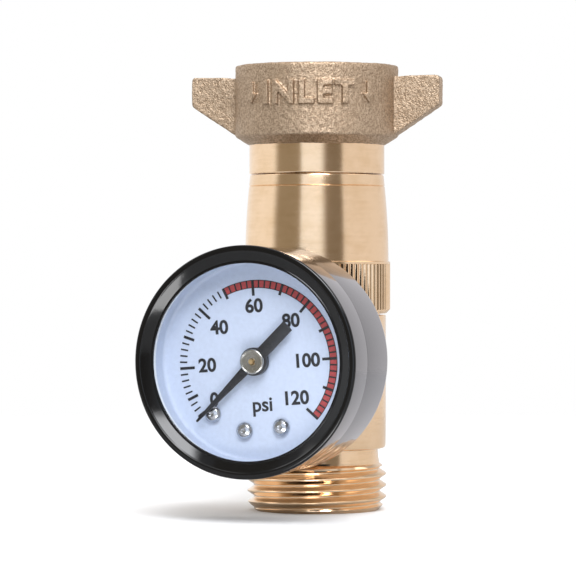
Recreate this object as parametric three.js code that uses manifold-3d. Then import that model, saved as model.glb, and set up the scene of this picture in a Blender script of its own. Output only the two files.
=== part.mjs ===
// In-line water pressure regulator with a pressure gauge, for a camper's or caravan's water inlet.
// Units are millimetres. The body's axis is Z, with the outlet end face at z = 0 and the inlet nut on top.
// The gauge faces -Y, and its own axis lies along Y at height GAUGE_Z.
import * as THREE from "three";
import { mergeVertices } from "three/addons/utils/BufferGeometryUtils.js";
import Module from "manifold-3d";

const wasm = await Module();
wasm.setup();

// --- Driving dimensions -------------------------------------------------------------------------
const TAU = Math.PI * 2;
const RAD = Math.PI / 180;
const GAP = 0.3;                                   // clearance kept between pieces that touch
const SIDES = 32;                                  // facets round a large turned piece
const GAUGE_SIDES = 36;
const SMALL_SIDES = 12;                            // facets round a pin, screw or seal
const TOUCH = 1e-3;                                // closer than this, two heights or radii are the same

// Garden hose thread, 11.5 turns to the inch.
const THREAD_PITCH = 25.4 / 11.5;
const MALE_CREST_R = 13.45;
const MALE_ROOT_R = 12.2;
const FEMALE_ROOT_R = 13.65;
const FEMALE_CREST_R = 12.25;
const THREAD_ROWS = 4;                             // grid rows in one pitch

// Body levels, upward from the outlet end face.
const MALE_TOP_Z = 9.1;
const NECK_TOP_Z = 12.0;
const SEAM_Z = 37.8;
const KNURL_Z = 38.1;
const KNURL_TOP_Z = 48.1;
const SHELL_TOP_Z = 64.7;
const NUT_Z = 65.1;
const COLLAR_TOP_Z = 70.7;
const NUT_CONE_Z = 72.2;
const NUT_TOP_Z = 86.0;

// Body radii.
const NECK_R = 11.8;
const BODY_R = 13.4;
const KNURL_R = 14.25;
const KNURL_DEPTH = 0.3;
const KNURL_RIBS = 45;                             // coarse ribs, every second one of the real band
const SHELL_TOP_R = 12.95;
const COLLAR_R = 13.1;
const NUT_R = 15.8;
const OUTLET_BORE_R = 9.2;
const CYLINDER_R = 10.6;
const SPIGOT_R = 12.2;
const SPIGOT_TOP_Z = 46.0;
const PISTON_STOP_Z = 35.2;
const SPRING_CEILING_Z = 53.0;
const STEM_BORE_R = 4.3;
const TAILPIECE_SOCKET_Z = 56.3;
const TAILPIECE_SOCKET_R = 10.3;

// Swivel nut wings.
const NUT_REST_TURN = 7.3 * RAD;
const WING_TIP_X = 24.5;
const WING_TOP_Z = 84.0;
const WING_TIP_LOW_Z = 78.3;
const WING_THICK = 5.0;
const WING_CORNER_R = 0.8;

// Inlet tailpiece and piston.
const TAIL_BORE_R = 7.6;
const TAIL_NECK_R = 10.0;
const TAIL_FLANGE_R = 11.9;
const TAIL_FLANGE_Z = 72.4;
const TAIL_TOP_Z = 74.4;
const WASHER_TOP_Z = 77.7;
const SCREEN_Z = 75.6;
const SCREEN_THICK = 0.4;
const SCREEN_R = 7.3;
const SCREEN_HOLE_R = 0.95;
const SCREEN_RING_STEP = 2.6;                      // radius from one ring of holes to the next
const TAIL_SEAL_Z = 60.0;
const CUP_R = 5.2;
const CUP_BORE_R = 4.4;
const SEAT_Z = 61.0;
const PISTON_STROKE = 2.5;
const STEM_R = 4.0;
const STEM_BORE = 2.6;
const PISTON_R = 10.3;
const PISTON_HEAD_H = 4.0;
const PISTON_REST_Z = PISTON_STOP_Z + 0.02;
const STEM_SEAL_Z = 54.6 - PISTON_STROKE / 2;
const GROOVE_HALF = 0.8;                           // half the width of a large seal's groove
const STEM_GROOVE_HALF = 0.5;
const SPRING_WIRE_R = 0.9;
const SPRING_COIL_R = 8.2;
const SPRING_TURNS = 4;

// Gauge, with depths measured along its own axis from the body's axis towards the viewer's side.
const GAUGE_Z = 29.7;
const BACK = 20.0;
const SEAM = 33.6;
const CASE_RIM = 37.6;
const FRONT = 41.5;
const CASE_R = 21.05;
const CASE_RIM_R = 20.0;
const CASE_INNER_R = 19.2;
const CASE_WALL = 0.8;
const BEZEL_R = 21.4;
const WINDOW_R = 18.05;
const LENS_R = 19.3;
const LENS = 40.7;
const LENS_THICK = 1.6;
const DIAL = 34.2;
const DIAL_THICK = 0.4;
const DIAL_R = 18.8;
const DIAL_SCREW_RING_R = 13.0;
const DIAL_SCREW_ANGLES = [-68, -100, -131];
const ZERO_ANGLE = 225;
const SOCKET_THREAD_R = 5.1;
const SOCKET_FLATS_R = 7.0;
const SOCKET_NECK_R = 4.6;
const SPOT_FACE_Y = 13.0;                          // milled flat round the gauge port
const POINTER_Z = DIAL + 1.6;
const POINTER_LENGTH = 15.8;
const POINTER_TAIL = 9.4;
const POINTER_HUB_R = 2.6;
const POINTER_CAP_R = 2.0;
const ARBOR_R = 0.45;
const ARBOR_HOLE_R = 0.75;

// Gauge movement.
const PINION_TEETH = 10;
const GEAR_RATIO = 9;
const GEAR_MODULE = 0.2;
const CENTRE_SLACK = 0.1;                          // extra centre distance, so the teeth run free
const SECTOR_PIVOT_ANGLE = -50;
const TAIL_LEVER = 3.5;
const TAIL_LEVER_ANGLE = -30;
const TUBE_R = 14.5;
const TUBE_TIP_ANGLE = -8;
const TUBE_ROOT_ANGLE = -96;
const TIP_PIN = [13.3, -4.0];
const TUBE_DEPTH = 26.1;                           // middle of the tube's height
const PLATE_BACK = 25.4;
const PLATE_FRONT = 30.9;
const PLATE_THICK = 0.8;
const GEAR_LOW = 27.4;

// --- Materials ----------------------------------------------------------------------------------
function material(color, roughness, metalness) {
  return () => new THREE.MeshStandardMaterial({ color, roughness, metalness });
}

const castBrass = material(0xb59c80, 0.5, 1);
const turnedBrass = material(0xeccfa6, 0.25, 1);
const movementBrass = material(0xd9b778, 0.35, 1);
const bronzeTube = material(0xc98f5a, 0.35, 1);
const steel = material(0xc9ccd0, 0.3, 1);
const blackEnamel = material(0x0b0b0c, 0.15, 0);
const dialEnamel = material(0xccd6e6, 0.6, 0);
const needlePaint = material(0x141414, 0.45, 0);
const rubber = material(0x161616, 0.8, 0);
const seatRubber = material(0x2b2b2b, 0.7, 0);
const clearPlastic = material(0xf2f6fa, 0.05, 0);
const whiteVinyl = material(0xeceef0, 0.5, 0);

// --- Helpers ------------------------------------------------------------------------------------
const part = new THREE.Group();

function add(name, geometry, finish, parent = part) {
  const mesh = new THREE.Mesh(geometry, finish());
  mesh.name = name;
  parent.add(mesh);
  return mesh;
}

// A solid for manifold-3d from a closed geometry.
function solid(geometry) {
  const bare = (geometry.index ? geometry.toNonIndexed() : geometry.clone());
  bare.deleteAttribute("normal");
  bare.deleteAttribute("uv");
  const merged = mergeVertices(bare, 1e-4);
  const mesh = new wasm.Mesh({
    numProp: 3,
    vertProperties: new Float32Array(merged.attributes.position.array),
    triVerts: new Uint32Array(merged.index.array),
  });
  mesh.merge();
  return new wasm.Manifold(mesh);
}

// The three.js geometry of a manifold-3d solid.
function geometryOf(manifold) {
  const mesh = manifold.getMesh();
  const geometry = new THREE.BufferGeometry();
  geometry.setAttribute("position", new THREE.BufferAttribute(mesh.vertProperties, 3));
  geometry.setIndex(new THREE.BufferAttribute(mesh.triVerts, 1));
  geometry.computeVertexNormals();
  return geometry;
}

// A turned solid about Z from a closed profile of [radius, height] points, counter-clockwise.
function turned(profile, sides = SIDES) {
  const points = profile.map(([r, z]) => new THREE.Vector2(r, z));
  points.push(points[0].clone());
  const geometry = new THREE.LatheGeometry(points, sides);
  geometry.rotateX(Math.PI / 2);
  return geometry;
}

// A ring of rectangular section about Z.
function ring(inner, outer, low, high, sides = SIDES) {
  return turned([[inner, low], [outer, low], [outer, high], [inner, high]], sides);
}

// A round bar about Z.
function rod(radius, low, high, sides = SMALL_SIDES) {
  const geometry = new THREE.CylinderGeometry(radius, radius, high - low, sides);
  geometry.rotateX(Math.PI / 2);
  geometry.translate(0, 0, (low + high) / 2);
  return geometry;
}

// An O-ring about Z.
function seal(ringR, sectionR, z, sides = 24) {
  const geometry = new THREE.TorusGeometry(ringR, sectionR, 6, sides);
  geometry.translate(0, 0, z);
  return geometry;
}

// A flat plate in the XY plane from an outline of points, with round holes, from low to high.
function plate(outline, holes, low, high) {
  const shape = new THREE.Shape(outline.map(([x, y]) => new THREE.Vector2(x, y)));
  for (const [x, y, r, sides] of holes) {
    const hole = new THREE.Path();
    const corner = (k) => [x + r * Math.cos((k / sides) * TAU), y + r * Math.sin((k / sides) * TAU)];
    hole.moveTo(...corner(0));
    for (let k = 1; k < sides; k++) {
      hole.lineTo(...corner(k));
    }
    hole.closePath();
    shape.holes.push(hole);
  }
  const geometry = new THREE.ExtrudeGeometry(shape, { depth: high - low, bevelEnabled: false });
  geometry.translate(0, 0, low);
  return geometry;
}

// Points round a circle or an arc, from one angle to another, in degrees.
function arc(x, y, r, from, to, steps) {
  const points = [];
  for (let k = 0; k <= steps; k++) {
    const a = (from + ((to - from) * k) / steps) * RAD;
    points.push([x + r * Math.cos(a), y + r * Math.sin(a)]);
  }
  return points;
}

// Radius of a hose thread at a height and an angle: a right-hand helix between root and crest.
function threadRadius(root, crest, z, angle) {
  const turns = z / THREAD_PITCH - angle / TAU;
  const phase = turns - Math.floor(turns);
  const wave = 0.5 + 0.5 * Math.cos(phase * TAU);
  const flank = THREE.MathUtils.clamp((wave - 0.2) / 0.6, 0, 1);
  return root + (crest - root) * flank;
}

// Gives the points of a turned geometry that lie on a marked radius their threaded radius.
function cutThread(geometry, markR, root, crest, lowZ, highZ, limit) {
  const position = geometry.attributes.position;
  for (let k = 0; k < position.count; k++) {
    const [x, y, z] = [position.getX(k), position.getY(k), position.getZ(k)];
    const marked = Math.abs(Math.hypot(x, y) - markR) < TOUCH && z > lowZ - TOUCH && z < highZ + TOUCH;
    if (marked) {
      const angle = Math.atan2(y, x);
      const r = limit(threadRadius(root, crest, z, angle), z);
      position.setXY(k, r * Math.cos(angle), r * Math.sin(angle));
    }
  }
  return geometry;
}

// Rows of a profile at one radius, a part of a pitch apart.
function threadRows(radius, low, high) {
  const count = Math.round(((high - low) / THREAD_PITCH) * THREAD_ROWS);
  return Array.from({ length: count + 1 }, (_, k) => [radius, low + ((high - low) * k) / count]);
}

// --- Body ---------------------------------------------------------------------------------------
function lowerBody() {
  const lead = 0.8;
  const profile = [
    [OUTLET_BORE_R, 0],
    [MALE_ROOT_R - 0.3, 0],
    ...threadRows(MALE_CREST_R, lead, MALE_TOP_Z - lead),
    [NECK_R, MALE_TOP_Z],
    [NECK_R, NECK_TOP_Z],
    [BODY_R - 1.4, NECK_TOP_Z],
    [BODY_R - 0.4, NECK_TOP_Z + 0.4],
    [BODY_R, NECK_TOP_Z + 1.4],
    [BODY_R, SEAM_Z],
    [SPIGOT_R, SEAM_Z],
    [SPIGOT_R, SPIGOT_TOP_Z],
    [CYLINDER_R, SPIGOT_TOP_Z],
    [CYLINDER_R, PISTON_STOP_Z],
    [OUTLET_BORE_R, PISTON_STOP_Z],
  ];
  const cap = (r, z) => Math.min(r, MALE_ROOT_R + z - 0.2, MALE_ROOT_R + (MALE_TOP_Z - z));
  const threaded = cutThread(turned(profile), MALE_CREST_R, MALE_ROOT_R, MALE_CREST_R, 0, MALE_TOP_Z, cap);
  const port = rod(SOCKET_THREAD_R + GAP, 0, BODY_R + 1);
  const spotFace = rod(SOCKET_FLATS_R + 0.5, SPOT_FACE_Y, BODY_R + 1);
  for (const cutter of [port, spotFace]) {
    cutter.rotateX(Math.PI / 2);
    cutter.translate(0, 0, GAUGE_Z);
  }
  return geometryOf(solid(threaded).subtract(solid(port)).subtract(solid(spotFace)));
}

// The shell's outside above the knurled band, with the fine groove near its top.
const SHELL_OUTLINE = [
  [14.1, KNURL_TOP_Z],
  [13.8, 54.4],
  [13.4, 60.2],
  [13.1, 62.6],
  [12.95, 62.7],
  [13.08, 62.85],
];

function upperBody() {
  const wallR = KNURL_R - 0.8;
  const profile = [
    [SPIGOT_R + GAP, KNURL_Z],
    [wallR, KNURL_Z],
    [wallR, KNURL_TOP_Z - 0.2],
    ...SHELL_OUTLINE,
    [SHELL_TOP_R, SHELL_TOP_Z - 0.2],
    [SHELL_TOP_R - 0.2, SHELL_TOP_Z],
    [TAILPIECE_SOCKET_R, SHELL_TOP_Z],
    [TAILPIECE_SOCKET_R, TAILPIECE_SOCKET_Z],
    [STEM_BORE_R, TAILPIECE_SOCKET_Z],
    [STEM_BORE_R, SPRING_CEILING_Z],
    [CYLINDER_R, SPRING_CEILING_Z],
    [CYLINDER_R, SPIGOT_TOP_Z + GAP],
    [SPIGOT_R + GAP, SPIGOT_TOP_Z + GAP],
  ];
  const ribs = [];
  for (let k = 0; k < KNURL_RIBS * 2; k++) {
    const r = KNURL_R - (k % 2) * KNURL_DEPTH;
    const a = (k / (KNURL_RIBS * 2)) * TAU;
    ribs.push([r * Math.cos(a), r * Math.sin(a)]);
  }
  const band = plate(ribs, [[0, 0, wallR - 0.4, SIDES]], KNURL_Z, KNURL_TOP_Z);
  const chamfer = turned([[0, KNURL_Z - 1], [wallR, KNURL_Z - 1], [wallR, KNURL_Z],
    [KNURL_R + 0.1, KNURL_Z + 0.9], [KNURL_R + 0.1, KNURL_TOP_Z + 1], [0, KNURL_TOP_Z + 1]]);
  return geometryOf(solid(turned(profile)).add(solid(band).intersect(solid(chamfer))));
}

// --- Swivel nut ---------------------------------------------------------------------------------
function wing() {
  const root = [14.6, 15.9];
  const tipMid = WING_TIP_X - WING_CORNER_R;
  const outline = [
    [root[0], 72.6],
    [root[1], 72.8],
    ...arc(tipMid, WING_TIP_LOW_Z + 0.5, WING_CORNER_R, -40, 0, 3),
    ...arc(tipMid, WING_TOP_Z - WING_CORNER_R, WING_CORNER_R, 0, 90, 4),
    [root[0], WING_TOP_Z],
  ];
  const geometry = plate(outline, [], -WING_THICK / 2, WING_THICK / 2);
  geometry.rotateX(Math.PI / 2);
  return geometry;
}

function swivelNut() {
  const mouth = 1.0;
  const threadLow = NUT_CONE_Z + 1.2;
  const inner = threadRows(FEMALE_CREST_R, threadLow, NUT_TOP_Z - mouth).reverse();
  const profile = [
    [TAIL_NECK_R + GAP, NUT_Z],
    [COLLAR_R - 0.2, NUT_Z],
    [COLLAR_R, NUT_Z + 0.2],
    [COLLAR_R, COLLAR_TOP_Z],
    [NUT_R, NUT_CONE_Z],
    [NUT_R, NUT_TOP_Z - 0.5],
    [NUT_R - 0.5, NUT_TOP_Z],
    [FEMALE_ROOT_R, NUT_TOP_Z],
    ...inner,
    [FEMALE_CREST_R, TAIL_FLANGE_Z - GAP],
    [TAIL_NECK_R + GAP, TAIL_FLANGE_Z - GAP],
  ];
  const low = threadLow + 0.4;
  const high = NUT_TOP_Z - mouth;
  const keep = (r) => r;
  const body = cutThread(turned(profile), FEMALE_CREST_R, FEMALE_ROOT_R, FEMALE_CREST_R, low, high, keep);
  const right = wing();
  const left = wing().rotateZ(Math.PI);
  return geometryOf(solid(body).add(solid(right)).add(solid(left)));
}

// --- Inlet and seat -----------------------------------------------------------------------------
function inletTailpiece() {
  const low = TAILPIECE_SOCKET_Z + GAP;
  const tube = turned([
    [TAIL_BORE_R, low],
    [TAIL_NECK_R, low],
    [TAIL_NECK_R, TAIL_SEAL_Z - GROOVE_HALF],
    [TAIL_NECK_R - 1.2, TAIL_SEAL_Z - GROOVE_HALF],
    [TAIL_NECK_R - 1.2, TAIL_SEAL_Z + GROOVE_HALF],
    [TAIL_NECK_R, TAIL_SEAL_Z + GROOVE_HALF],
    [TAIL_NECK_R, TAIL_FLANGE_Z],
    [TAIL_FLANGE_R, TAIL_FLANGE_Z],
    [TAIL_FLANGE_R, TAIL_TOP_Z],
    [TAIL_BORE_R, TAIL_TOP_Z],
  ]);
  // A cup on three ribs holds the seat disc, open downward.
  const cup = turned([
    [0, SEAT_Z + 1.7],
    [CUP_BORE_R, SEAT_Z + 1.7],
    [CUP_BORE_R, SEAT_Z + 0.4],
    [CUP_R, SEAT_Z + 0.4],
    [CUP_R, SEAT_Z + 4.4],
    [0, SEAT_Z + 4.4],
  ], SMALL_SIDES);
  let whole = solid(tube).add(solid(cup));
  for (let k = 0; k < 3; k++) {
    const rib = new THREE.BoxGeometry(4, 1.6, 2.6);
    rib.translate(6.6, 0, SEAT_Z + 3);
    rib.rotateZ((k / 3) * TAU);
    whole = whole.add(solid(rib));
  }
  const screwHole = rod(0.85, SEAT_Z, SEAT_Z + 4);
  return geometryOf(whole.subtract(solid(screwHole)));
}

function seatScrew() {
  return turned([[0, SEAT_Z - 1.3], [1.3, SEAT_Z - 1.3], [1.7, SEAT_Z - 0.9], [1.7, SEAT_Z - GAP],
    [0.6, SEAT_Z - GAP], [0.6, SEAT_Z + 3.6], [0, SEAT_Z + 3.6]], SMALL_SIDES);
}

function piston() {
  const low = PISTON_REST_Z;
  const headTop = low + PISTON_HEAD_H;
  const stemTop = SEAT_Z - PISTON_STROKE - 0.05;
  const grooveZ = low + PISTON_HEAD_H / 2;
  return turned([
    [STEM_BORE, low],
    [PISTON_R, low],
    [PISTON_R, grooveZ - GROOVE_HALF],
    [PISTON_R - 1.2, grooveZ - GROOVE_HALF],
    [PISTON_R - 1.2, grooveZ + GROOVE_HALF],
    [PISTON_R, grooveZ + GROOVE_HALF],
    [PISTON_R, headTop],
    [STEM_R, headTop],
    [STEM_R, STEM_SEAL_Z - STEM_GROOVE_HALF],
    [STEM_R - 0.7, STEM_SEAL_Z - STEM_GROOVE_HALF],
    [STEM_R - 0.7, STEM_SEAL_Z + STEM_GROOVE_HALF],
    [STEM_R, STEM_SEAL_Z + STEM_GROOVE_HALF],
    [STEM_R, stemTop - 0.6],
    [STEM_BORE + 0.5, stemTop],
    [STEM_BORE, stemTop],
  ], 24);
}

// A round-wire compression spring with closed ends, as a helix swept by a round section.
function rangeSpring() {
  const low = PISTON_STOP_Z + PISTON_HEAD_H + GAP + SPRING_WIRE_R;
  const high = SPRING_CEILING_Z - GAP - SPRING_WIRE_R;
  class Helix extends THREE.Curve {
    getPoint(t, target = new THREE.Vector3()) {
      const a = t * SPRING_TURNS * TAU;
      return target.set(SPRING_COIL_R * Math.cos(a), SPRING_COIL_R * Math.sin(a), low + (high - low) * t);
    }
  }
  const rim = arc(0, 0, SPRING_WIRE_R, 0, 300, 5);
  const section = new THREE.Shape(rim.map(([x, y]) => new THREE.Vector2(x, y)));
  return new THREE.ExtrudeGeometry(section, { steps: SPRING_TURNS * 14, extrudePath: new Helix() });
}

// A perforated disc that stands in the washer's bore, with its holes on rings round a solid middle.
function inletScreen() {
  const holes = [];
  for (const ringNumber of [1, 2]) {
    const count = 6 * ringNumber;
    for (let k = 0; k < count; k++) {
      const angle = ((k + 0.25) / count) * 360;
      holes.push([...polar(SCREEN_RING_STEP * ringNumber, angle), SCREEN_HOLE_R, 6]);
    }
  }
  return plate(arc(0, 0, SCREEN_R, 0, 360 - 12, 29), holes, SCREEN_Z, SCREEN_Z + SCREEN_THICK);
}

// --- Gauge --------------------------------------------------------------------------------------
// The gauge is drawn about Z with its back at 0 and its front upward, then turned to face -Y.
const gauge = new THREE.Group();
gauge.rotation.x = Math.PI / 2;
gauge.position.set(0, 0, GAUGE_Z);
part.add(gauge);

function polar(r, degrees) {
  return [r * Math.cos(degrees * RAD), r * Math.sin(degrees * RAD)];
}

function gaugeSocket() {
  const shoulder = SPOT_FACE_Y + GAP;
  const thread = rod(SOCKET_THREAD_R, OUTLET_BORE_R + 0.4, shoulder + 0.5);
  const flats = rod(SOCKET_FLATS_R, shoulder, BACK - GAP, 6);
  const neck = rod(SOCKET_NECK_R, BACK - 1, BACK + 3.4);
  const arm = new THREE.BoxGeometry(5, 16.4, 2.2);
  arm.translate(0, -7.4, BACK + 2.3);
  const root = new THREE.BoxGeometry(5, 2.6, 1.6);
  root.translate(-1, -14.3, BACK + 3.5);
  const passage = rod(1.1, OUTLET_BORE_R, BACK + 2.6, 12);
  const pieces = [flats, neck, arm, root].map(solid);
  const whole = pieces.reduce((sum, piece) => sum.add(piece), solid(thread));
  return geometryOf(whole.subtract(solid(passage)));
}

function gaugeCase() {
  return turned([
    [SOCKET_NECK_R + GAP, BACK],
    [CASE_R - 1.6, BACK],
    [CASE_R - 0.4, BACK + 0.5],
    [CASE_R, BACK + 1.6],
    [CASE_R, SEAM - GAP],
    [CASE_RIM_R, SEAM - GAP],
    [CASE_RIM_R, CASE_RIM],
    [CASE_INNER_R, CASE_RIM],
    [CASE_INNER_R, BACK + CASE_WALL + 0.8],
    [CASE_INNER_R - 0.8, BACK + CASE_WALL],
    [SOCKET_NECK_R + GAP, BACK + CASE_WALL],
  ], GAUGE_SIDES);
}

function gaugeBezel() {
  return turned([
    [CASE_RIM_R + GAP, SEAM],
    [BEZEL_R - 0.3, SEAM],
    [BEZEL_R, SEAM + 0.5],
    [BEZEL_R, FRONT - 1.5],
    [BEZEL_R - 0.3, FRONT - 0.5],
    [BEZEL_R - 1.1, FRONT - 0.05],
    [BEZEL_R - 1.5, FRONT - 0.2],
    [WINDOW_R + 0.7, FRONT - 0.1],
    [WINDOW_R + 0.2, FRONT],
    [WINDOW_R, FRONT - 0.2],
    [WINDOW_R, LENS + GAP],
    [LENS_R + GAP, LENS + GAP],
    [LENS_R + GAP, CASE_RIM + GAP],
    [CASE_RIM_R + GAP, CASE_RIM + GAP],
  ], GAUGE_SIDES);
}

function dialPlate() {
  const holes = DIAL_SCREW_ANGLES.map((a) => [...polar(DIAL_SCREW_RING_R, a), 0.9, 12]);
  holes.push([0, 0, 1.0, 16]);
  return plate(arc(0, 0, DIAL_R, 0, 360 - 9, 39), holes, DIAL - DIAL_THICK, DIAL);
}

function dialScrew() {
  const head = DIAL + GAP;
  return turned([[0, DIAL - 1.6], [0.6, DIAL - 1.6], [0.6, head], [1.4, head], [1.3, head + 0.45],
    [0.85, head + 0.85], [0, head + 1.0]], SMALL_SIDES);
}

// The arched strip behind the dial, on two feet that stand on the case's back.
function dialBracket() {
  const low = DIAL - DIAL_THICK - GAP - 0.9;
  const from = -142;
  const to = -57;
  const outline = [...arc(0, 0, 14.6, from, to, 12), ...arc(0, 0, 11.4, to, from, 12)];
  const holes = DIAL_SCREW_ANGLES.map((a) => [...polar(DIAL_SCREW_RING_R, a), 0.9, 12]);
  let whole = solid(plate(outline, holes, low, low + 0.9));
  for (const angle of [from + 5, to - 5]) {
    const foot = new THREE.BoxGeometry(1.0, 2.4, low + 0.4 - BACK - CASE_WALL - GAP);
    foot.translate(17.6, 0, (low + 0.4 + BACK + CASE_WALL + GAP) / 2);
    const shelf = new THREE.BoxGeometry(4.6, 2.4, 0.9);
    shelf.translate(15.8, 0, low + 0.45);
    foot.rotateZ(angle * RAD);
    shelf.rotateZ(angle * RAD);
    whole = whole.add(solid(foot)).add(solid(shelf));
  }
  return geometryOf(whole);
}

// The C-shaped pressure tube: a flattened section swept round the gauge's axis, from root to tip.
function bourdonTube() {
  class TubeLine extends THREE.Curve {
    getPoint(t, target = new THREE.Vector3()) {
      const sweep = 360 + TUBE_ROOT_ANGLE - TUBE_TIP_ANGLE;
      const a = (360 + TUBE_ROOT_ANGLE - sweep * t) * RAD;
      return target.set(TUBE_R * Math.cos(a), TUBE_R * Math.sin(a), TUBE_DEPTH);
    }
  }
  const half = new THREE.Vector2(1.5, 0.75);
  const rim = arc(0, 0, 1, 0, 300, 5);
  const section = new THREE.Shape(rim.map(([x, y]) => new THREE.Vector2(x * half.x, y * half.y)));
  return new THREE.ExtrudeGeometry(section, { steps: 30, extrudePath: new TubeLine() });
}

function tubeTip() {
  const cap = new THREE.BoxGeometry(2.2, 1.8, 3.2);
  cap.translate(14.4, -3.3, TUBE_DEPTH);
  const lug = new THREE.BoxGeometry(2.6, 2.4, 0.8);
  lug.translate(13.4, -4.2, GEAR_LOW - 0.9);
  const pin = rod(0.45, GEAR_LOW - 1, GEAR_LOW + 2.4, 12);
  pin.translate(...TIP_PIN, 0);
  return geometryOf(solid(cap).add(solid(lug)).add(solid(pin)));
}

// Points of a gear's rim between two angles: a trapezoid tooth every pitch, the first one centred on start.
function toothPoints(radius, teeth, count, start) {
  const points = [];
  const pitch = 360 / teeth;
  const [tip, root] = [radius + 0.8 * GEAR_MODULE, radius - 1.1 * GEAR_MODULE];
  for (let k = 0; k < count; k++) {
    const mid = start + k * pitch;
    points.push(polar(root, mid - 0.3 * pitch), polar(tip, mid - 0.09 * pitch));
    points.push(polar(tip, mid + 0.09 * pitch), polar(root, mid + 0.3 * pitch));
  }
  return points;
}

const PINION_PITCH_R = (PINION_TEETH * GEAR_MODULE) / 2;
const SECTOR_PITCH_R = PINION_PITCH_R * GEAR_RATIO;
const SECTOR_PIVOT = polar(PINION_PITCH_R + SECTOR_PITCH_R + CENTRE_SLACK, SECTOR_PIVOT_ANGLE);
const TAIL_PIN = [
  SECTOR_PIVOT[0] + TAIL_LEVER * Math.cos(TAIL_LEVER_ANGLE * RAD),
  SECTOR_PIVOT[1] + TAIL_LEVER * Math.sin(TAIL_LEVER_ANGLE * RAD),
];

// The toothed sector swings about its own arbor. Its rim meshes with the pinion, and its tail takes the link.
function sectorGear() {
  const teeth = PINION_TEETH * GEAR_RATIO;
  const pitch = 360 / teeth;
  const towardPinion = SECTOR_PIVOT_ANGLE + 180;
  const below = 9;
  const above = 2;
  const first = towardPinion - below * pitch;
  const rim = toothPoints(SECTOR_PITCH_R, teeth, below + above + 1, first);
  const outline = [...rim, ...arc(0, 0, 1.6, first + 60, first + 300, 8)];
  const blade = solid(plate(outline, [], GEAR_LOW, GEAR_LOW + 0.9));
  const tail = [[-0.4, -1.1], [TAIL_LEVER, -1.0], [TAIL_LEVER + 0.9, -0.5], [TAIL_LEVER + 0.9, 0.5],
    [TAIL_LEVER, 1.0], [-0.4, 1.1]];
  const lever = plate(tail, [], GEAR_LOW, GEAR_LOW + 0.9);
  lever.rotateZ(TAIL_LEVER_ANGLE * RAD);
  const arbor = rod(0.6, PLATE_BACK - 0.2, PLATE_FRONT + 0.4, 12);
  const pin = rod(0.45, GEAR_LOW, GEAR_LOW + 2.2, 12);
  pin.translate(TAIL_PIN[0] - SECTOR_PIVOT[0], TAIL_PIN[1] - SECTOR_PIVOT[1], 0);
  return geometryOf(blade.add(solid(lever)).add(solid(arbor)).add(solid(pin)));
}

function pinionArbor() {
  const pitch = 360 / PINION_TEETH;
  const outline = toothPoints(PINION_PITCH_R, PINION_TEETH, PINION_TEETH, SECTOR_PIVOT_ANGLE + pitch / 2);
  const pinion = plate(outline, [], GEAR_LOW - 0.4, GEAR_LOW + 1.6);
  const shaft = rod(ARBOR_R, PLATE_BACK - 0.2, POINTER_Z + 1.8);
  return geometryOf(solid(pinion).add(solid(shaft)));
}

// The link joins the sector's tail to the tube's tip. Its outer eye is a slot for the tube's travel.
function link() {
  const reach = Math.hypot(TIP_PIN[0] - TAIL_PIN[0], TIP_PIN[1] - TAIL_PIN[1]);
  const slotFrom = reach - 2.0;
  const half = 1.3;
  const outline = [...arc(0, 0, half, 90, 270, 8), ...arc(reach + 0.2, 0, half, -90, 90, 8)];
  const bar = solid(plate(outline, [[0, 0, 0.75, 12]], GEAR_LOW + 1.3, GEAR_LOW + 1.9));
  const slot = plate([...arc(slotFrom, 0, 0.75, 90, 270, 6), ...arc(reach + 0.1, 0, 0.75, -90, 90, 6)], [],
    GEAR_LOW + 1, GEAR_LOW + 2.2);
  const geometry = geometryOf(bar.subtract(solid(slot)));
  geometry.rotateZ(Math.atan2(TIP_PIN[1] - TAIL_PIN[1], TIP_PIN[0] - TAIL_PIN[0]));
  geometry.translate(...TAIL_PIN, 0);
  return geometry;
}

const PILLAR_PLACES = [polar(10.4, 100), polar(10.4, 200), polar(8.4, -100)];

function movementPlate(low) {
  const outline = arc(0, 0, 12.0, 0, 360 - 12, 29);
  const holes = PILLAR_PLACES.map(([x, y]) => [x, y, 0.8, 12]);
  holes.push([0, 0, ARBOR_HOLE_R, SMALL_SIDES], [...SECTOR_PIVOT, 0.9, SMALL_SIDES]);
  return plate(outline, holes, low, low + PLATE_THICK);
}

function movementPillar() {
  return rod(1.3, PLATE_BACK + PLATE_THICK + GAP, PLATE_FRONT - GAP, 12);
}

function movementScrew() {
  const top = PLATE_FRONT + PLATE_THICK + GAP;
  const low = PLATE_FRONT - 0.1;
  return turned([[0, low], [0.5, low], [0.5, top], [1.2, top], [1.2, top + 0.5], [0, top + 0.5]], 12);
}

// A flat coil spring round the pinion's arbor, as a spiral ribbon with square ends.
function hairspring() {
  const turns = 3;
  const steps = turns * 12;
  const [from, to, half] = [1.5, 4.0, 0.07];
  const side = (offset) => Array.from({ length: steps + 1 }, (_, k) => {
    const a = (k / steps) * turns * TAU;
    const r = from + ((to - from) * k) / steps + offset;
    return [r * Math.cos(a), r * Math.sin(a)];
  });
  return plate([...side(half), ...side(-half).reverse()], [], GEAR_LOW + 2.2, GEAR_LOW + 2.9);
}

function hairspringStud() {
  const post = rod(0.5, GEAR_LOW + 2.1, PLATE_FRONT - 0.02, 10);
  post.translate(4.9, 0, 0);
  return post;
}

// A tapered needle one way, a straight tail the other way, and a round hub between them.
function pointer() {
  const tailHalf = 1.15;
  const tipHalf = 0.2;
  const outline = [
    ...arc(0, 0, POINTER_HUB_R, 200, 333, 8),
    [POINTER_TAIL, -tailHalf],
    [POINTER_TAIL, tailHalf],
    ...arc(0, 0, POINTER_HUB_R, 27, 160, 8),
    [-POINTER_LENGTH, tipHalf],
    [-POINTER_LENGTH, -tipHalf],
  ];
  const geometry = plate(outline, [[0, 0, ARBOR_HOLE_R, SMALL_SIDES]], POINTER_Z, POINTER_Z + 0.5);
  geometry.rotateZ((ZERO_ANGLE - 180) * RAD);
  return geometry;
}

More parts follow.
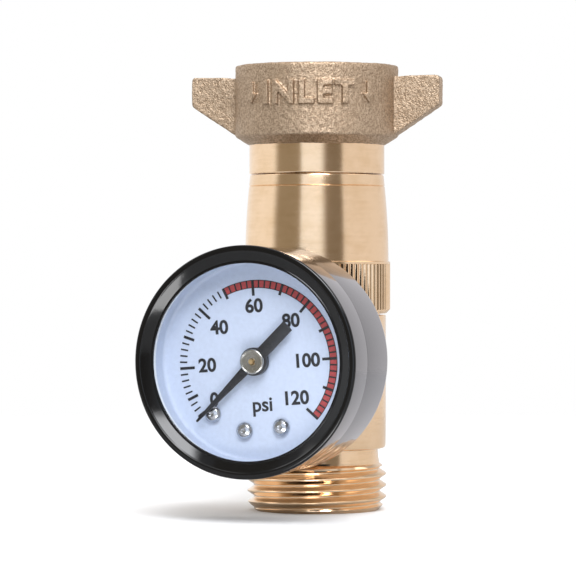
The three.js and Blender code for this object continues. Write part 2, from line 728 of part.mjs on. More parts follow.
function pointerCap() {
  const low = POINTER_Z + 0.8;
  return turned([
    [ARBOR_HOLE_R, low],
    [POINTER_CAP_R, low],
    [POINTER_CAP_R, low + 0.5],
    [POINTER_CAP_R - 0.3, low + 0.7],
    [ARBOR_HOLE_R, low + 0.7],
  ], SMALL_SIDES);
}

// --- Assembly -----------------------------------------------------------------------------------
function addAt(name, geometry, finish, parent, [x, y]) {
  const mesh = add(name, geometry, finish, parent);
  mesh.position.set(x, y, 0);
}

add("lower_body", lowerBody(), turnedBrass);
add("upper_body", upperBody(), turnedBrass);
add("inlet_tailpiece", inletTailpiece(), turnedBrass);
add("tailpiece_seal", seal(TAIL_NECK_R - 0.45, 0.5, TAIL_SEAL_Z), rubber);
add("seat_disc", ring(0.9, 4.0, SEAT_Z, SEAT_Z + 1.4, 16), seatRubber);
add("seat_screw", seatScrew(), steel);
add("inlet_washer", ring(TAIL_BORE_R, TAIL_FLANGE_R, TAIL_TOP_Z + GAP, WASHER_TOP_Z), rubber);
add("inlet_screen", inletScreen(), steel);
add("piston", piston(), turnedBrass);
add("piston_head_seal", seal(PISTON_R - 0.45, 0.6, PISTON_REST_Z + PISTON_HEAD_H / 2), rubber);
add("piston_stem_seal", seal(STEM_R - 0.25, 0.4, STEM_SEAL_Z, 18), rubber);
add("range_spring", rangeSpring(), steel);

const nut = new THREE.Group();
nut.rotation.z = NUT_REST_TURN;
part.add(nut);
add("swivel_nut", swivelNut(), castBrass, nut);

add("gauge_socket", gaugeSocket(), turnedBrass, gauge);
add("gauge_case", gaugeCase(), blackEnamel, gauge);
add("gauge_bezel", gaugeBezel(), blackEnamel, gauge);
add("lens_gasket", ring(18.3, LENS_R, CASE_RIM + GAP, LENS - LENS_THICK - GAP), whiteVinyl, gauge);
add("gauge_lens", rod(LENS_R, LENS - LENS_THICK, LENS, GAUGE_SIDES), clearPlastic, gauge);
add("dial_plate", dialPlate(), dialEnamel, gauge);
add("dial_bracket", dialBracket(), steel, gauge);
DIAL_SCREW_ANGLES.forEach((angle, k) => {
  addAt(`dial_screw_${k + 1}`, dialScrew(), steel, gauge, polar(DIAL_SCREW_RING_R, angle));
});
add("bourdon_tube", bourdonTube(), bronzeTube, gauge);
add("tube_tip", tubeTip(), movementBrass, gauge);
add("movement_back_plate", movementPlate(PLATE_BACK), movementBrass, gauge);
add("movement_front_plate", movementPlate(PLATE_FRONT), movementBrass, gauge);
PILLAR_PLACES.forEach((place, k) => {
  addAt(`movement_pillar_${k + 1}`, movementPillar(), movementBrass, gauge, place);
  addAt(`movement_screw_${k + 1}`, movementScrew(), steel, gauge, place);
});
addAt("sector_gear", sectorGear(), movementBrass, gauge, SECTOR_PIVOT);
add("pinion_arbor", pinionArbor(), steel, gauge);
add("link", link(), movementBrass, gauge);
add("hairspring", hairspring(), bronzeTube, gauge);
add("hairspring_stud", hairspringStud(), movementBrass, gauge);
add("pointer", pointer(), needlePaint, gauge);
add("pointer_cap", pointerCap(), steel, gauge);

export default part;
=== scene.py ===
"""The looks of an in-line water pressure regulator with a dial gauge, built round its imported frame.

Lengths are in millimetres in the classes below and become metres when a mesh is made. The body's axis is Z,
the gauge faces -Y, and every place and main size comes from the boxes of the frame's nodes.
"""

import logging
import math
from dataclasses import dataclass, field
from enum import Enum
from typing import Callable, Iterable, Sequence

import bmesh
import bpy
import numpy as np
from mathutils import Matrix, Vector, noise


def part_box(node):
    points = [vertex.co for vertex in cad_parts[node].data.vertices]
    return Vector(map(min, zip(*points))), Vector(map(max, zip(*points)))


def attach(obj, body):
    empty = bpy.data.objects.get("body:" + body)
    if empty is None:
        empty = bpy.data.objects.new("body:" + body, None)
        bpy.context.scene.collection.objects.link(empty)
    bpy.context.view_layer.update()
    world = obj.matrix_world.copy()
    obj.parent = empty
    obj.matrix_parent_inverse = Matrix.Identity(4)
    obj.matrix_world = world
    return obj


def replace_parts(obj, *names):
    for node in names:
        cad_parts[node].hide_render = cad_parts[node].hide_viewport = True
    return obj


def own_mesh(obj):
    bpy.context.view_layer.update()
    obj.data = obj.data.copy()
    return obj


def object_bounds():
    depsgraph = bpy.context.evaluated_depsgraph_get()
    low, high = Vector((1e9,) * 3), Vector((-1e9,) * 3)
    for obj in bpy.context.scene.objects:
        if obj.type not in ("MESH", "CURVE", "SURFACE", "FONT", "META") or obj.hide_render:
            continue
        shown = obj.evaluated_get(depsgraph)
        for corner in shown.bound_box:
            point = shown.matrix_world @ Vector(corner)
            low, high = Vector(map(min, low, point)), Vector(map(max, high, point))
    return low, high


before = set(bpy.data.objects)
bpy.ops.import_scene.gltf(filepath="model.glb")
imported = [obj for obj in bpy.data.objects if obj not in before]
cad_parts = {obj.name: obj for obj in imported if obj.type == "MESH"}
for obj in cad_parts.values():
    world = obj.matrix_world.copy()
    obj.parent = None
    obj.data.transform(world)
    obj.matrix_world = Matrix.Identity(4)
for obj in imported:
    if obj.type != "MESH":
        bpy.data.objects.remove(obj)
CAD_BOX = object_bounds()

LOG = logging.getLogger("regulator")
MM = 0.001
TAU = 2 * math.pi
HOSE_PITCH = 25.4 / 11.5
THREAD_FORM = (-0.0825, -0.0475, 0.0, 0.0475, 0.0825, 0.26, 0.4175, 0.4575, 0.5, 0.5425, 0.5825, 0.74)
FLANK_FOOT = 0.4375
FLANK_WIDTH = 0.375
RING_DRAW = 0.12
GAUGE_HEIGHT = 29.7
FONT_CAPITAL = 0.72
Point = tuple[float, float]
Corner = tuple[float, float, float]
Colour = tuple[float, float, float]


# --- Shader graphs ------------------------------------------------------------------------------
class Value:
    """A node's output, with arithmetic that adds Math nodes to its graph."""

    def __init__(self, graph: "Graph", socket: bpy.types.NodeSocket) -> None:
        """Wraps one output socket of a graph."""
        self.graph = graph
        self.socket = socket

    def math(self, operation: str, *others: "Value | float") -> "Value":
        """Applies a Math node.

        Args:
            operation: The Math node's operation.
            others: The operands after this value.

        Returns:
            The result.
        """
        inputs = dict(enumerate((self, *others)))
        return self.graph.node("ShaderNodeMath", {"operation": operation}, inputs)

    def __add__(self, other: "Value | float") -> "Value":
        """This value plus another."""
        return self.math("ADD", other)

    def __radd__(self, other: float) -> "Value":
        """A number plus this value."""
        return self.math("ADD", other)

    def __sub__(self, other: "Value | float") -> "Value":
        """This value minus another."""
        return self.math("SUBTRACT", other)

    def __rsub__(self, other: float) -> "Value":
        """A number minus this value."""
        return self.graph.node("ShaderNodeMath", {"operation": "SUBTRACT"}, {0: other, 1: self})

    def __mul__(self, other: "Value | float") -> "Value":
        """This value times another."""
        return self.math("MULTIPLY", other)

    def __rmul__(self, other: float) -> "Value":
        """A number times this value."""
        return self.math("MULTIPLY", other)

    def step(self, low: float, high: float) -> "Value":
        """A smooth step.

        Args:
            low: The value at which the step starts.
            high: The value at which it ends; below low for a falling step.

        Returns:
            0 before the step and 1 after it.
        """
        settings = {"interpolation_type": "SMOOTHSTEP"}
        ends = {1: low, 2: high, 3: 0.0, 4: 1.0}
        if low > high:
            ends = {1: high, 2: low, 3: 1.0, 4: 0.0}
        return self.graph.node("ShaderNodeMapRange", settings, {0: self, **ends})


class Graph:
    """The node tree of one material or world."""

    def __init__(self, tree: bpy.types.NodeTree) -> None:
        """Starts with an empty tree."""
        self.tree = tree
        tree.nodes.clear()

    def node(
        self,
        kind: str,
        settings: dict[str, object] | None = None,
        inputs: dict[int | str, object] | None = None,
        output: int | str = 0,
    ) -> Value:
        """Adds one node.

        Args:
            kind: The node's type.
            settings: Its properties, set before its sockets are.
            inputs: Socket index or name to a value, a colour, a vector or a link.
            output: The output socket that is wanted.

        Returns:
            That output.
        """
        made = self.tree.nodes.new(kind)
        for name, value in (settings or {}).items():
            setattr(made, name, value)
        for key, value in (inputs or {}).items():
            if isinstance(value, Value):
                self.tree.links.new(value.socket, made.inputs[key])
            else:
                made.inputs[key].default_value = value
        return Value(self, made.outputs[output]) if made.outputs else None

    def place(self) -> Value:
        """The point's place in its piece's own frame, in millimetres."""
        coords = self.node("ShaderNodeTexCoord", output="Object")
        return self.vector("SCALE", coords, scale=1 / MM)

    def vector(self, operation: str, a: Value, b: object = None, scale: float | None = None) -> Value:
        """Applies a Vector Math node.

        Args:
            operation: The node's operation.
            a: The first vector.
            b: The second vector, or none.
            scale: The factor of a SCALE.

        Returns:
            The result.
        """
        inputs: dict[int | str, object] = {0: a}
        if b is not None:
            inputs[1] = b
        if scale is not None:
            inputs["Scale"] = scale
        wanted = "Value" if operation == "LENGTH" else "Vector"
        return self.node("ShaderNodeVectorMath", {"operation": operation}, inputs, wanted)

    def axis(self, vector: Value, index: int) -> Value:
        """One coordinate of a vector, 0 for X to 2 for Z."""
        return self.node("ShaderNodeSeparateXYZ", None, {0: vector}, index)

    def noise(self, vector: Value, scale: float, detail: float = 2.0, rough: float = 0.5) -> Value:
        """A noise from about 0.2 to 0.8.

        Args:
            vector: The place, in millimetres.
            scale: Features per millimetre.
            detail: Octaves above the first.
            rough: The octaves' strength.

        Returns:
            The noise's value.
        """
        inputs = {"Vector": vector, "Scale": scale, "Detail": detail, "Roughness": rough}
        return self.node("ShaderNodeTexNoise", None, inputs, 0)

    def mix(self, factor: Value | float, a: object, b: object) -> Value:
        """Mixes two colours.

        Args:
            factor: How much of b there is.
            a: The first colour.
            b: The second colour.

        Returns:
            The mixed colour.
        """
        inputs = {0: factor, 6: rgba(a), 7: rgba(b)}
        return self.node("ShaderNodeMix", {"data_type": "RGBA"}, inputs, 2)

    def bump(self, height: Value, depth: float, strength: float = 1.0, over: Value | None = None) -> Value:
        """A normal from a height.

        Args:
            height: The height, from 0 to 1.
            depth: Millimetres that a height of 1 stands for.
            strength: The bump's strength.
            over: A bump that this one adds to.

        Returns:
            The normal.
        """
        inputs: dict[int | str, object] = {"Height": height, "Distance": depth * MM, "Strength": strength}
        if over is not None:
            inputs["Normal"] = over
        return self.node("ShaderNodeBump", None, inputs)

    def surface(self, shader: Value) -> None:
        """Makes a shader the tree's output."""
        is_world = isinstance(self.tree.id_data, bpy.types.World)
        kind = "ShaderNodeOutputWorld" if is_world else "ShaderNodeOutputMaterial"
        self.node(kind, None, {"Surface": shader})


def rgba(colour: object) -> object:
    """A colour with its alpha of 1; a link stays as it is."""
    if isinstance(colour, Value):
        return colour
    return (*colour, 1.0)


# --- Finishes -----------------------------------------------------------------------------------
class Axis(Enum):
    """The axis that a piece was turned about."""

    BODY = 2
    GAUGE = 1


@dataclass(frozen=True)
class Finish:
    """A surface finish. Each kind says what its material looks like in dress()."""

    name: str

    def dress(self, graph: Graph) -> None:
        """Builds the nodes of the material."""
        raise NotImplementedError

    def material(self) -> bpy.types.Material:
        """Makes the material, or returns the one that was made before."""
        name = f"{self.name}_finish"
        found = bpy.data.materials.get(name)
        if found is not None:
            return found
        made = bpy.data.materials.new(name)
        made.use_nodes = True
        self.dress(Graph(made.node_tree))
        return made

    @staticmethod
    def principled(graph: Graph, **inputs: object) -> None:
        """Ends a graph with a Principled shader, with underscores in place of its sockets' spaces."""
        named = {key.replace("_", " "): value for key, value in inputs.items()}
        graph.surface(graph.node("ShaderNodeBsdfPrincipled", None, named))


@dataclass(frozen=True)
class TurnedBrass(Finish):
    """Bright brass with the fine rings that a lathe tool leaves."""

    light: Colour = (0.93, 0.675, 0.45)
    deep: Colour = (0.80, 0.54, 0.31)
    axis: Axis = Axis.BODY
    rough: float = 0.13

    def dress(self, graph: Graph) -> None:
        """Rings follow the turned axis, and a slow stain changes the colour a little."""
        place = graph.place()
        stretched = tuple(1.0 if k == self.axis.value else RING_DRAW for k in range(3))
        along = graph.vector("MULTIPLY", place, stretched)
        fine = graph.noise(along, 9.0, 3.0, 0.6)
        broad = graph.noise(along, 1.6, 2.0, 0.5)
        stain = graph.noise(place, 0.16, 3.0, 0.6)
        speck = graph.noise(place, 2.6, 2.0, 0.7)
        tone = (stain * 0.75 + broad * 0.25).step(0.40, 0.68)
        colour = graph.mix(tone * 0.55, self.light, self.deep)
        colour = graph.mix(speck.step(0.62, 0.76) * 0.2, colour, (0.56, 0.36, 0.19))
        rough = fine * 0.16 + speck * 0.05 + (self.rough - 0.08)
        normal = graph.bump(fine, 0.012, 0.5)
        normal = graph.bump(broad, 0.02, 0.35, normal)
        self.principled(graph, Base_Color=colour, Metallic=1.0, Roughness=rough, Normal=normal)


@dataclass(frozen=True)
class CastBrass(Finish):
    """Sand-cast brass, tumbled: a fine worm-like grain, brighter on its high spots."""

    light: Colour = (0.59, 0.45, 0.325)
    deep: Colour = (0.35, 0.255, 0.175)

    def dress(self, graph: Graph) -> None:
        """Two noises make the sand's grain, and a broad one gives the casting's unevenness."""
        place = graph.place()
        warp = graph.noise(place, 0.25, 3.0)
        grain = graph.noise(place, 2.0, 3.0, 0.6)
        worms = 1.0 - (graph.noise(place, 2.2, 1.0) * 4.0 - 2.0).math("ABSOLUTE")
        sand = grain * 0.6 + worms * 0.4
        high = sand.step(0.46, 0.72)
        colour = graph.mix(high, self.deep, self.light)
        colour = graph.mix(warp.step(0.35, 0.7) * 0.35, colour, (0.45, 0.33, 0.225))
        rough = 0.62 - high * 0.14 + warp * 0.06
        normal = graph.bump(sand, 0.13, 0.8)
        self.principled(graph, Base_Color=colour, Metallic=1.0, Roughness=rough, Normal=normal)


@dataclass(frozen=True)
class GlossEnamel(Finish):
    """Black gloss enamel with a faint orange peel and a few dust specks."""

    colour: Colour = (0.003, 0.003, 0.0034)
    lustre: float = 1.42
    edge_tint: Colour = (0.93, 0.89, 0.98)

    def dress(self, graph: Graph) -> None:
        """A soft unevenness bends and dulls the reflections, and a coat shows at glancing angles."""
        place = graph.place()
        peel = graph.noise(place, 0.55, 2.0)
        dust = graph.noise(place, 6.0, 3.0, 0.7)
        colour = graph.mix(dust.step(0.66, 0.8) * 0.5, self.colour, (0.02, 0.02, 0.022))
        rough = 0.06 + peel * 0.05 + dust.step(0.6, 0.8) * 0.08
        normal = graph.bump(peel, 0.03, 0.25)
        edge = graph.node("ShaderNodeLayerWeight", None, {"Blend": 0.5}, "Facing")
        self.principled(graph, Base_Color=colour, Roughness=rough, Normal=normal, IOR=self.lustre,
                        Coat_Weight=edge.step(0.38, 0.72), Coat_IOR=1.75, Coat_Roughness=0.07,
                        Coat_Tint=rgba(self.edge_tint))


@dataclass(frozen=True)
class SatinPaint(Finish):
    """A thin even paint or printing ink, slightly mottled."""

    colour: Colour = (0.02, 0.02, 0.022)
    rough: float = 0.45
    mottle: float = 0.12

    def dress(self, graph: Graph) -> None:
        """Small changes of tone and gloss, at the scale of a printed or sprayed film."""
        place = graph.place()
        film = graph.noise(place, 1.4, 3.0, 0.6)
        paler = tuple(min(1.0, c * (1 + self.mottle) + 0.004) for c in self.colour)
        darker = tuple(c * (1 - self.mottle) for c in self.colour)
        colour = graph.mix(film.step(0.3, 0.7), darker, paler)
        rough = film * 0.12 + (self.rough - 0.06)
        normal = graph.bump(graph.noise(place, 7.0, 2.0), 0.006, 0.4)
        self.principled(graph, Base_Color=colour, Roughness=rough, Normal=normal)


@dataclass(frozen=True)
class BrightSteel(Finish):
    """Plated or bare steel with fine scratches."""

    colour: Colour = (0.66, 0.67, 0.69)
    rough: float = 0.2

    def dress(self, graph: Graph) -> None:
        """Fine scratches one way over a slow change of gloss."""
        place = graph.place()
        scratch = graph.noise(graph.vector("MULTIPLY", place, (9.0, 0.7, 1.1)), 1.3, 3.0, 0.7)
        cloud = graph.noise(place, 0.8, 2.0)
        darker = tuple(c * 0.72 for c in self.colour)
        colour = graph.mix(cloud.step(0.3, 0.7), darker, self.colour)
        rough = scratch * 0.14 + cloud * 0.08 + (self.rough - 0.1)
        normal = graph.bump(scratch, 0.01, 0.5)
        self.principled(graph, Base_Color=colour, Metallic=1.0, Roughness=rough, Normal=normal)


@dataclass(frozen=True)
class FacedSteel(Finish):
    """Steel faced on a lathe: fine rings about one centre, with the arbor's brass end in its centre hole
    darkened to near black as painted shade.
    """

    centre: Corner
    colour: Colour = (0.40, 0.39, 0.36)
    # The arbor's brass end in the centre hole, darkened to near black as painted shade.
    shaded_brass_core: Colour = (0.07, 0.055, 0.035)
    shaded_core_r: float = 0.5

    def dress(self, graph: Graph) -> None:
        """Rings by distance from the turning centre, with painted shade in the centre hole."""
        place = graph.vector("SUBTRACT", graph.place(), self.centre)
        flat = graph.vector("MULTIPLY", place, (1.0, 0.0, 1.0))
        radius = graph.vector("LENGTH", flat)
        along = graph.node("ShaderNodeCombineXYZ", None, {0: radius * 7.0, 1: 0.0, 2: 0.0})
        rings = graph.noise(along, 1.0, 2.0, 0.6)
        paler = tuple(min(1.0, c * 1.35) for c in self.colour)
        colour = graph.mix(rings.step(0.35, 0.65), self.colour, paler)
        # Painted shade: the centre hole takes the dark brass colour.
        colour = graph.mix(radius.step(self.shaded_core_r + 0.12, self.shaded_core_r - 0.12), colour, self.shaded_brass_core)
        rough = rings * 0.15 + 0.16
        normal = graph.bump(rings, 0.02, 0.5)
        self.principled(graph, Base_Color=colour, Metallic=1.0, Roughness=rough, Normal=normal)


@dataclass(frozen=True)
class MouldedRubber(Finish):
    """Moulded rubber, matt, with a fine grain."""

    colour: Colour = (0.018, 0.018, 0.018)

    def dress(self, graph: Graph) -> None:
        """A dusty bloom over a pebbled surface."""
        place = graph.place()
        bloom = graph.noise(place, 0.5, 3.0, 0.6)
        grain = graph.noise(place, 5.0, 3.0, 0.6)
        colour = graph.mix(bloom.step(0.4, 0.75) * 0.6, self.colour, (0.055, 0.054, 0.052))
        rough = grain * 0.2 + 0.6
        self.principled(graph, Base_Color=colour, Roughness=rough, Normal=graph.bump(grain, 0.03, 0.6))


@dataclass(frozen=True)
class ClearLens(Finish):
    """A clear window: light passes through it, and its gloss follows the angle of view."""

    def dress(self, graph: Graph) -> None:
        """A transparent film mixed with a sharp reflection by Fresnel's law."""
        place = graph.place()
        ripple = graph.noise(place, 0.12, 1.0)
        normal = graph.bump(ripple, 0.05, 0.1)
        through = graph.node("ShaderNodeBsdfTransparent", None, {"Color": (0.985, 0.99, 1.0, 1.0)})
        gloss = graph.node("ShaderNodeBsdfGlossy", None, {"Roughness": 0.03, "Normal": normal})
        edge = graph.node("ShaderNodeFresnel", None, {"IOR": 1.45})
        graph.surface(graph.node("ShaderNodeMixShader", None, {0: edge * 0.35, 1: through, 2: gloss}))


BODY_BRASS = TurnedBrass("body_brass")
NUT_BRASS = CastBrass("cast_brass")
GAUGE_BRASS = TurnedBrass("gauge_stem_brass", axis=Axis.GAUGE)
MOVEMENT_BRASS = TurnedBrass("movement_brass", light=(0.78, 0.58, 0.3), axis=Axis.GAUGE, rough=0.3)
TUBE_BRONZE = TurnedBrass("tube_bronze", light=(0.66, 0.40, 0.22), deep=(0.4, 0.22, 0.11), rough=0.28)
ENAMEL = GlossEnamel("black_enamel")
STEEL = BrightSteel("bright_steel")
CAP_STEEL = FacedSteel("faced_steel", centre=(0.0, 0.0, GAUGE_HEIGHT))
# The white dial's paint is set blue-grey: painted shade for the cool light on the dial.
DIAL_SHADED_PAINT = SatinPaint("dial_enamel", colour=(0.52, 0.585, 0.71), rough=0.5, mottle=0.03)
BLACK_INK = SatinPaint("black_ink", colour=(0.012, 0.012, 0.016), rough=0.5)
RED_INK = SatinPaint("red_ink", colour=(0.40, 0.05, 0.05), rough=0.5)
NEEDLE_PAINT = SatinPaint("needle_paint", colour=(0.016, 0.016, 0.018), rough=0.38)
WHITE_VINYL = SatinPaint("white_vinyl", colour=(0.8, 0.83, 0.86), rough=0.5, mottle=0.04)
RUBBER = MouldedRubber("black_rubber")
SEAT_RUBBER = MouldedRubber("seat_rubber", colour=(0.03, 0.03, 0.032))
CLEAR = ClearLens("clear_lens")


# --- Mesh building ------------------------------------------------------------------------------
@dataclass(frozen=True)
class Span:
    """The box of a frame node at rest, in millimetres."""

    low: Vector
    high: Vector

    @classmethod
    def of(cls, node: str) -> "Span":
        """The box of the node with that name."""
        low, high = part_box(node)
        return cls(low / MM, high / MM)

    @property
    def radius(self) -> float:
        """Half the box's width along X."""
        return (self.high.x - self.low.x) / 2

    @property
    def middle_z(self) -> float:
        """The height of the box's middle."""
        return (self.low.z + self.high.z) / 2


def spun(points: np.ndarray, angle: float) -> np.ndarray:
    """Points turned about Z by an angle in radians."""
    c, s = math.cos(angle), math.sin(angle)
    return points @ np.array([[c, s, 0], [-s, c, 0], [0, 0, 1]])


def rounded(corners: Sequence[Corner], steps: int = 5, closed: bool = True) -> list[Point]:
    """Rounds the corners of an outline.

    Args:
        corners: Each corner as (first coordinate, second coordinate, corner radius).
        steps: Segments of a rounded corner.
        closed: Whether the last corner joins the first.

    Returns:
        The outline's points in order.
    """
    points: list[Point] = []
    count = len(corners)
    for k, (x, y, radius) in enumerate(corners):
        here = Vector((x, y))
        if radius <= 0 or (not closed and k in (0, count - 1)):
            points.append((x, y))
            continue
        before = Vector(corners[k - 1][:2]) - here
        after = Vector(corners[(k + 1) % count][:2]) - here
        angle = before.angle(after)
        reach = min(radius / math.tan(angle / 2), before.length * 0.49, after.length * 0.49)
        start = here + before.normalized() * reach
        end = here + after.normalized() * reach
        for j in range(steps + 1):
            t = j / steps
            bend = start * (1 - t) ** 2 + here * (2 * t * (1 - t)) + end * t**2
            points.append((bend.x, bend.y))
    return points


def arc(radius: float, start: float, end: float, steps: int, x: float = 0.0, y: float = 0.0) -> list[Point]:
    """Points along an arc.

    Args:
        radius: The arc's radius.
        start: Its first angle in degrees.
        end: Its last angle in degrees.
        steps: How many segments it has.
        x: Its centre's first coordinate.
        y: Its centre's second coordinate.

    Returns:
        The points in order.
    """
    angles = [math.radians(start + (end - start) * k / steps) for k in range(steps + 1)]
    return [(x + radius * math.cos(a), y + radius * math.sin(a)) for a in angles]


class Shape:
    """Points and faces gathered for one piece, in millimetres, drawn about Z."""

    def __init__(self) -> None:
        """Starts with nothing in it."""
        self.points: list[np.ndarray] = []
        self.faces: list[tuple[int, ...]] = []
        self.count = 0

    def put(self, points: np.ndarray, faces: Iterable[Sequence[int]]) -> "Shape":
        """Adds points and faces.

        Args:
            points: The points.
            faces: Faces that count from the first of these points.

        Returns:
            This shape.
        """
        start = self.count
        self.points.append(np.asarray(points, float).reshape(-1, 3))
        self.faces.extend(tuple(start + k for k in face) for face in faces)
        self.count += len(self.points[-1])
        return self

    def add(self, other: "Shape") -> "Shape":
        """Adds all of another shape."""
        return self.put(np.concatenate(other.points), other.faces)

    def sheet(self, grid: np.ndarray, wrap: tuple[bool, bool], shift: int = 0) -> "Shape":
        """Adds a grid of quads.

        Args:
            grid: The points, as columns by rows by 3.
            wrap: Whether the last column joins the first, and the last row the first.
            shift: Rows by which the seam between the last column and the first is offset.

        Returns:
            This shape.
        """
        columns, rows = grid.shape[:2]
        faces = []
        for c in range(columns if wrap[0] else columns - 1):
            after = (c + 1) % columns
            offset = shift if after < c else 0
            for r in range(rows if wrap[1] else rows - 1):
                up = (r + 1) % rows
                if r + offset + 1 >= rows and offset:
                    continue
                here, beside = c * rows, after * rows + offset
                faces.append((here + r, beside + r, beside + up, here + up))
        return self.put(grid.reshape(-1, 3), faces)

    def turn(
        self,
        profile: Sequence[Point],
        segments: int = 160,
        closed: bool = True,
        radius_at: Callable[[np.ndarray, np.ndarray, np.ndarray], np.ndarray] | None = None,
    ) -> "Shape":
        """Turns a profile about Z.

        Args:
            profile: Points of (radius, height).
            segments: Segments round the turn.
            closed: Whether the profile closes on itself; if not, its ends lie on the axis or stay open.
            radius_at: Changes the radii, given radius, height and angle.

        Returns:
            This shape.
        """
        angle = np.linspace(0, TAU, segments, endpoint=False)[:, None]
        radius = np.array([p[0] for p in profile], float)[None, :] + 0 * angle
        height = np.array([p[1] for p in profile], float)[None, :] + 0 * angle
        if radius_at is not None:
            radius = radius_at(radius, height, angle + 0 * height)
        grid = np.stack([radius * np.cos(angle), radius * np.sin(angle), height], axis=-1)
        return self.sheet(grid, (True, closed))

    def thread(
        self, low: float, high: float, root: float, crest: float, limit: Callable[[np.ndarray], np.ndarray],
        segments: int = 160,
    ) -> "Shape":
        """Adds one hose thread as a right-hand helix, which meets a plain circle at each end.

        Args:
            low: Its lowest height.
            high: Its highest height.
            root: The radius between its turns.
            crest: The radius of its turns.
            limit: Gives the share of the thread's depth that is left at a height.
            segments: Segments round the turn.

        Returns:
            This shape.
        """
        turns = int((high - low) / HOSE_PITCH) + 4
        phase = np.array([k + f for k in range(turns) for f in THREAD_FORM])[None, :]
        angle = np.linspace(0, TAU, segments, endpoint=False)[:, None]
        height = low + HOSE_PITCH * (phase - 2 + angle / TAU)
        beside = np.abs((phase + 0.5) % 1.0 - 0.5)
        depth = np.clip((FLANK_FOOT - beside) / FLANK_WIDTH, 0, 1) + 0 * angle
        height = np.clip(height, low, high)
        radius = root + (crest - root) * np.minimum(depth, limit(height))
        grid = np.stack([radius * np.cos(angle), radius * np.sin(angle), height], axis=-1)
        return self.sheet(grid, (True, False), shift=len(THREAD_FORM))

    def prism(self, outline: Sequence[Point], low: float, high: float) -> "Shape":
        """Adds a flat outline raised from one height to another.

        Args:
            outline: The outline's points in order.
            low: The lower height.
            high: The upper height.

        Returns:
            This shape.
        """
        count = len(outline)
        bottom = [(x, y, low) for x, y in outline]
        top = [(x, y, high) for x, y in outline]
        sides = [(k, (k + 1) % count, count + (k + 1) % count, count + k) for k in range(count)]
        caps = [tuple(reversed(range(count))), tuple(range(count, 2 * count))]
        return self.put(np.array(bottom + top), [*sides, *caps])

    def moved(self, change: Callable[[np.ndarray], np.ndarray]) -> "Shape":
        """Changes every point so far."""
        self.points = [change(np.concatenate(self.points))]
        return self

    def bolt_face(self, gauge_z: float) -> "Shape":
        """Turns what was drawn about Z to lie along the gauge's axis, facing -Y at that height."""
        return self.moved(lambda p: np.stack([p[:, 0], -p[:, 2], gauge_z + p[:, 1]], axis=-1))

    def piece(self, name: str, finish: Finish, body: str, sharp: float = 32.0) -> bpy.types.Object:
        """Makes the piece.

        Args:
            name: Its name.
            finish: Its finish.
            body: The frame body that it rides on.
            sharp: Edges over this angle in degrees stay sharp.

        Returns:
            The piece, in metres.
        """
        mesh = bpy.data.meshes.new(name)
        mesh.from_pydata(np.concatenate(self.points) * MM, [], self.faces)
        work = bmesh.new()
        work.from_mesh(mesh)
        bmesh.ops.remove_doubles(work, verts=work.verts, dist=1e-4 * MM)
        bmesh.ops.dissolve_degenerate(work, edges=work.edges, dist=1e-5 * MM)
        bmesh.ops.recalc_face_normals(work, faces=work.faces)
        work.to_mesh(mesh)
        work.free()
        mesh.validate()
        made = bpy.data.objects.new(name, mesh)
        bpy.context.scene.collection.objects.link(made)
        return dress(made, finish, body, sharp)


def dress(made: bpy.types.Object, finish: Finish, body: str, sharp: float = 32.0) -> bpy.types.Object:
    """Gives a piece its finish, smooth faces and body, and reports it.

    Args:
        made: The piece.
        finish: Its finish.
        body: The frame body that it rides on.
        sharp: Edges over this angle in degrees stay sharp.

    Returns:
        The piece.
    """
    made.data.materials.clear()
    made.data.materials.append(finish.material())
    made.data.shade_smooth()
    made.data.set_sharp_from_angle(angle=math.radians(sharp))
    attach(made, body)
    LOG.info("%s: %d faces on %s", made.name, len(made.data.polygons), body)
    return made


def apply_modifiers(made: bpy.types.Object) -> None:
    """Turns a piece's modifiers into its mesh."""
    graph = bpy.context.evaluated_depsgraph_get()
    graph.update()
    mesh = bpy.data.meshes.new_from_object(made.evaluated_get(graph))
    made.modifiers.clear()
    old = made.data
    made.data = mesh
    bpy.data.meshes.remove(old)
    mesh.name = made.name


def lettering(text: str, height: float, weight: float = 0.0, spacing: float = 1.0) -> Shape:
    """Flat letters as a shape centred on the origin.

    Args:
        text: The letters or figures.
        height: The height of a capital or figure, in millimetres.
        weight: Extra boldness, as a share of the height.
        spacing: The letters' spacing, 1 for the font's own.

    Returns:
        The letters in the XY plane, one triangle at a time.
    """
    curve = bpy.data.curves.new("letters", "FONT")
    curve.body = text
    curve.align_x = "CENTER"
    curve.offset = weight
    curve.space_character = spacing
    curve.resolution_u = 6
    curve.fill_mode = "BOTH"
    holder = bpy.data.objects.new("letters", curve)
    bpy.context.scene.collection.objects.link(holder)
    graph = bpy.context.evaluated_depsgraph_get()
    mesh = bpy.data.meshes.new_from_object(holder.evaluated_get(graph))
    work = bmesh.new()
    work.from_mesh(mesh)
    bmesh.ops.remove_doubles(work, verts=work.verts, dist=1e-5)
    bmesh.ops.triangulate(work, faces=work.faces)
    work.to_mesh(mesh)
    work.free()
    points = np.array([v.co[:] for v in mesh.vertices])
    faces = [tuple(f.vertices) for f in mesh.polygons]
    bpy.data.objects.remove(holder)
    bpy.data.curves.remove(curve)
    bpy.data.meshes.remove(mesh)
    points *= height / FONT_CAPITAL
    points[:, 0] -= (points[:, 0].min() + points[:, 0].max()) / 2
    points[:, 1] -= (points[:, 1].min() + points[:, 1].max()) / 2
    return Shape().put(points, faces)


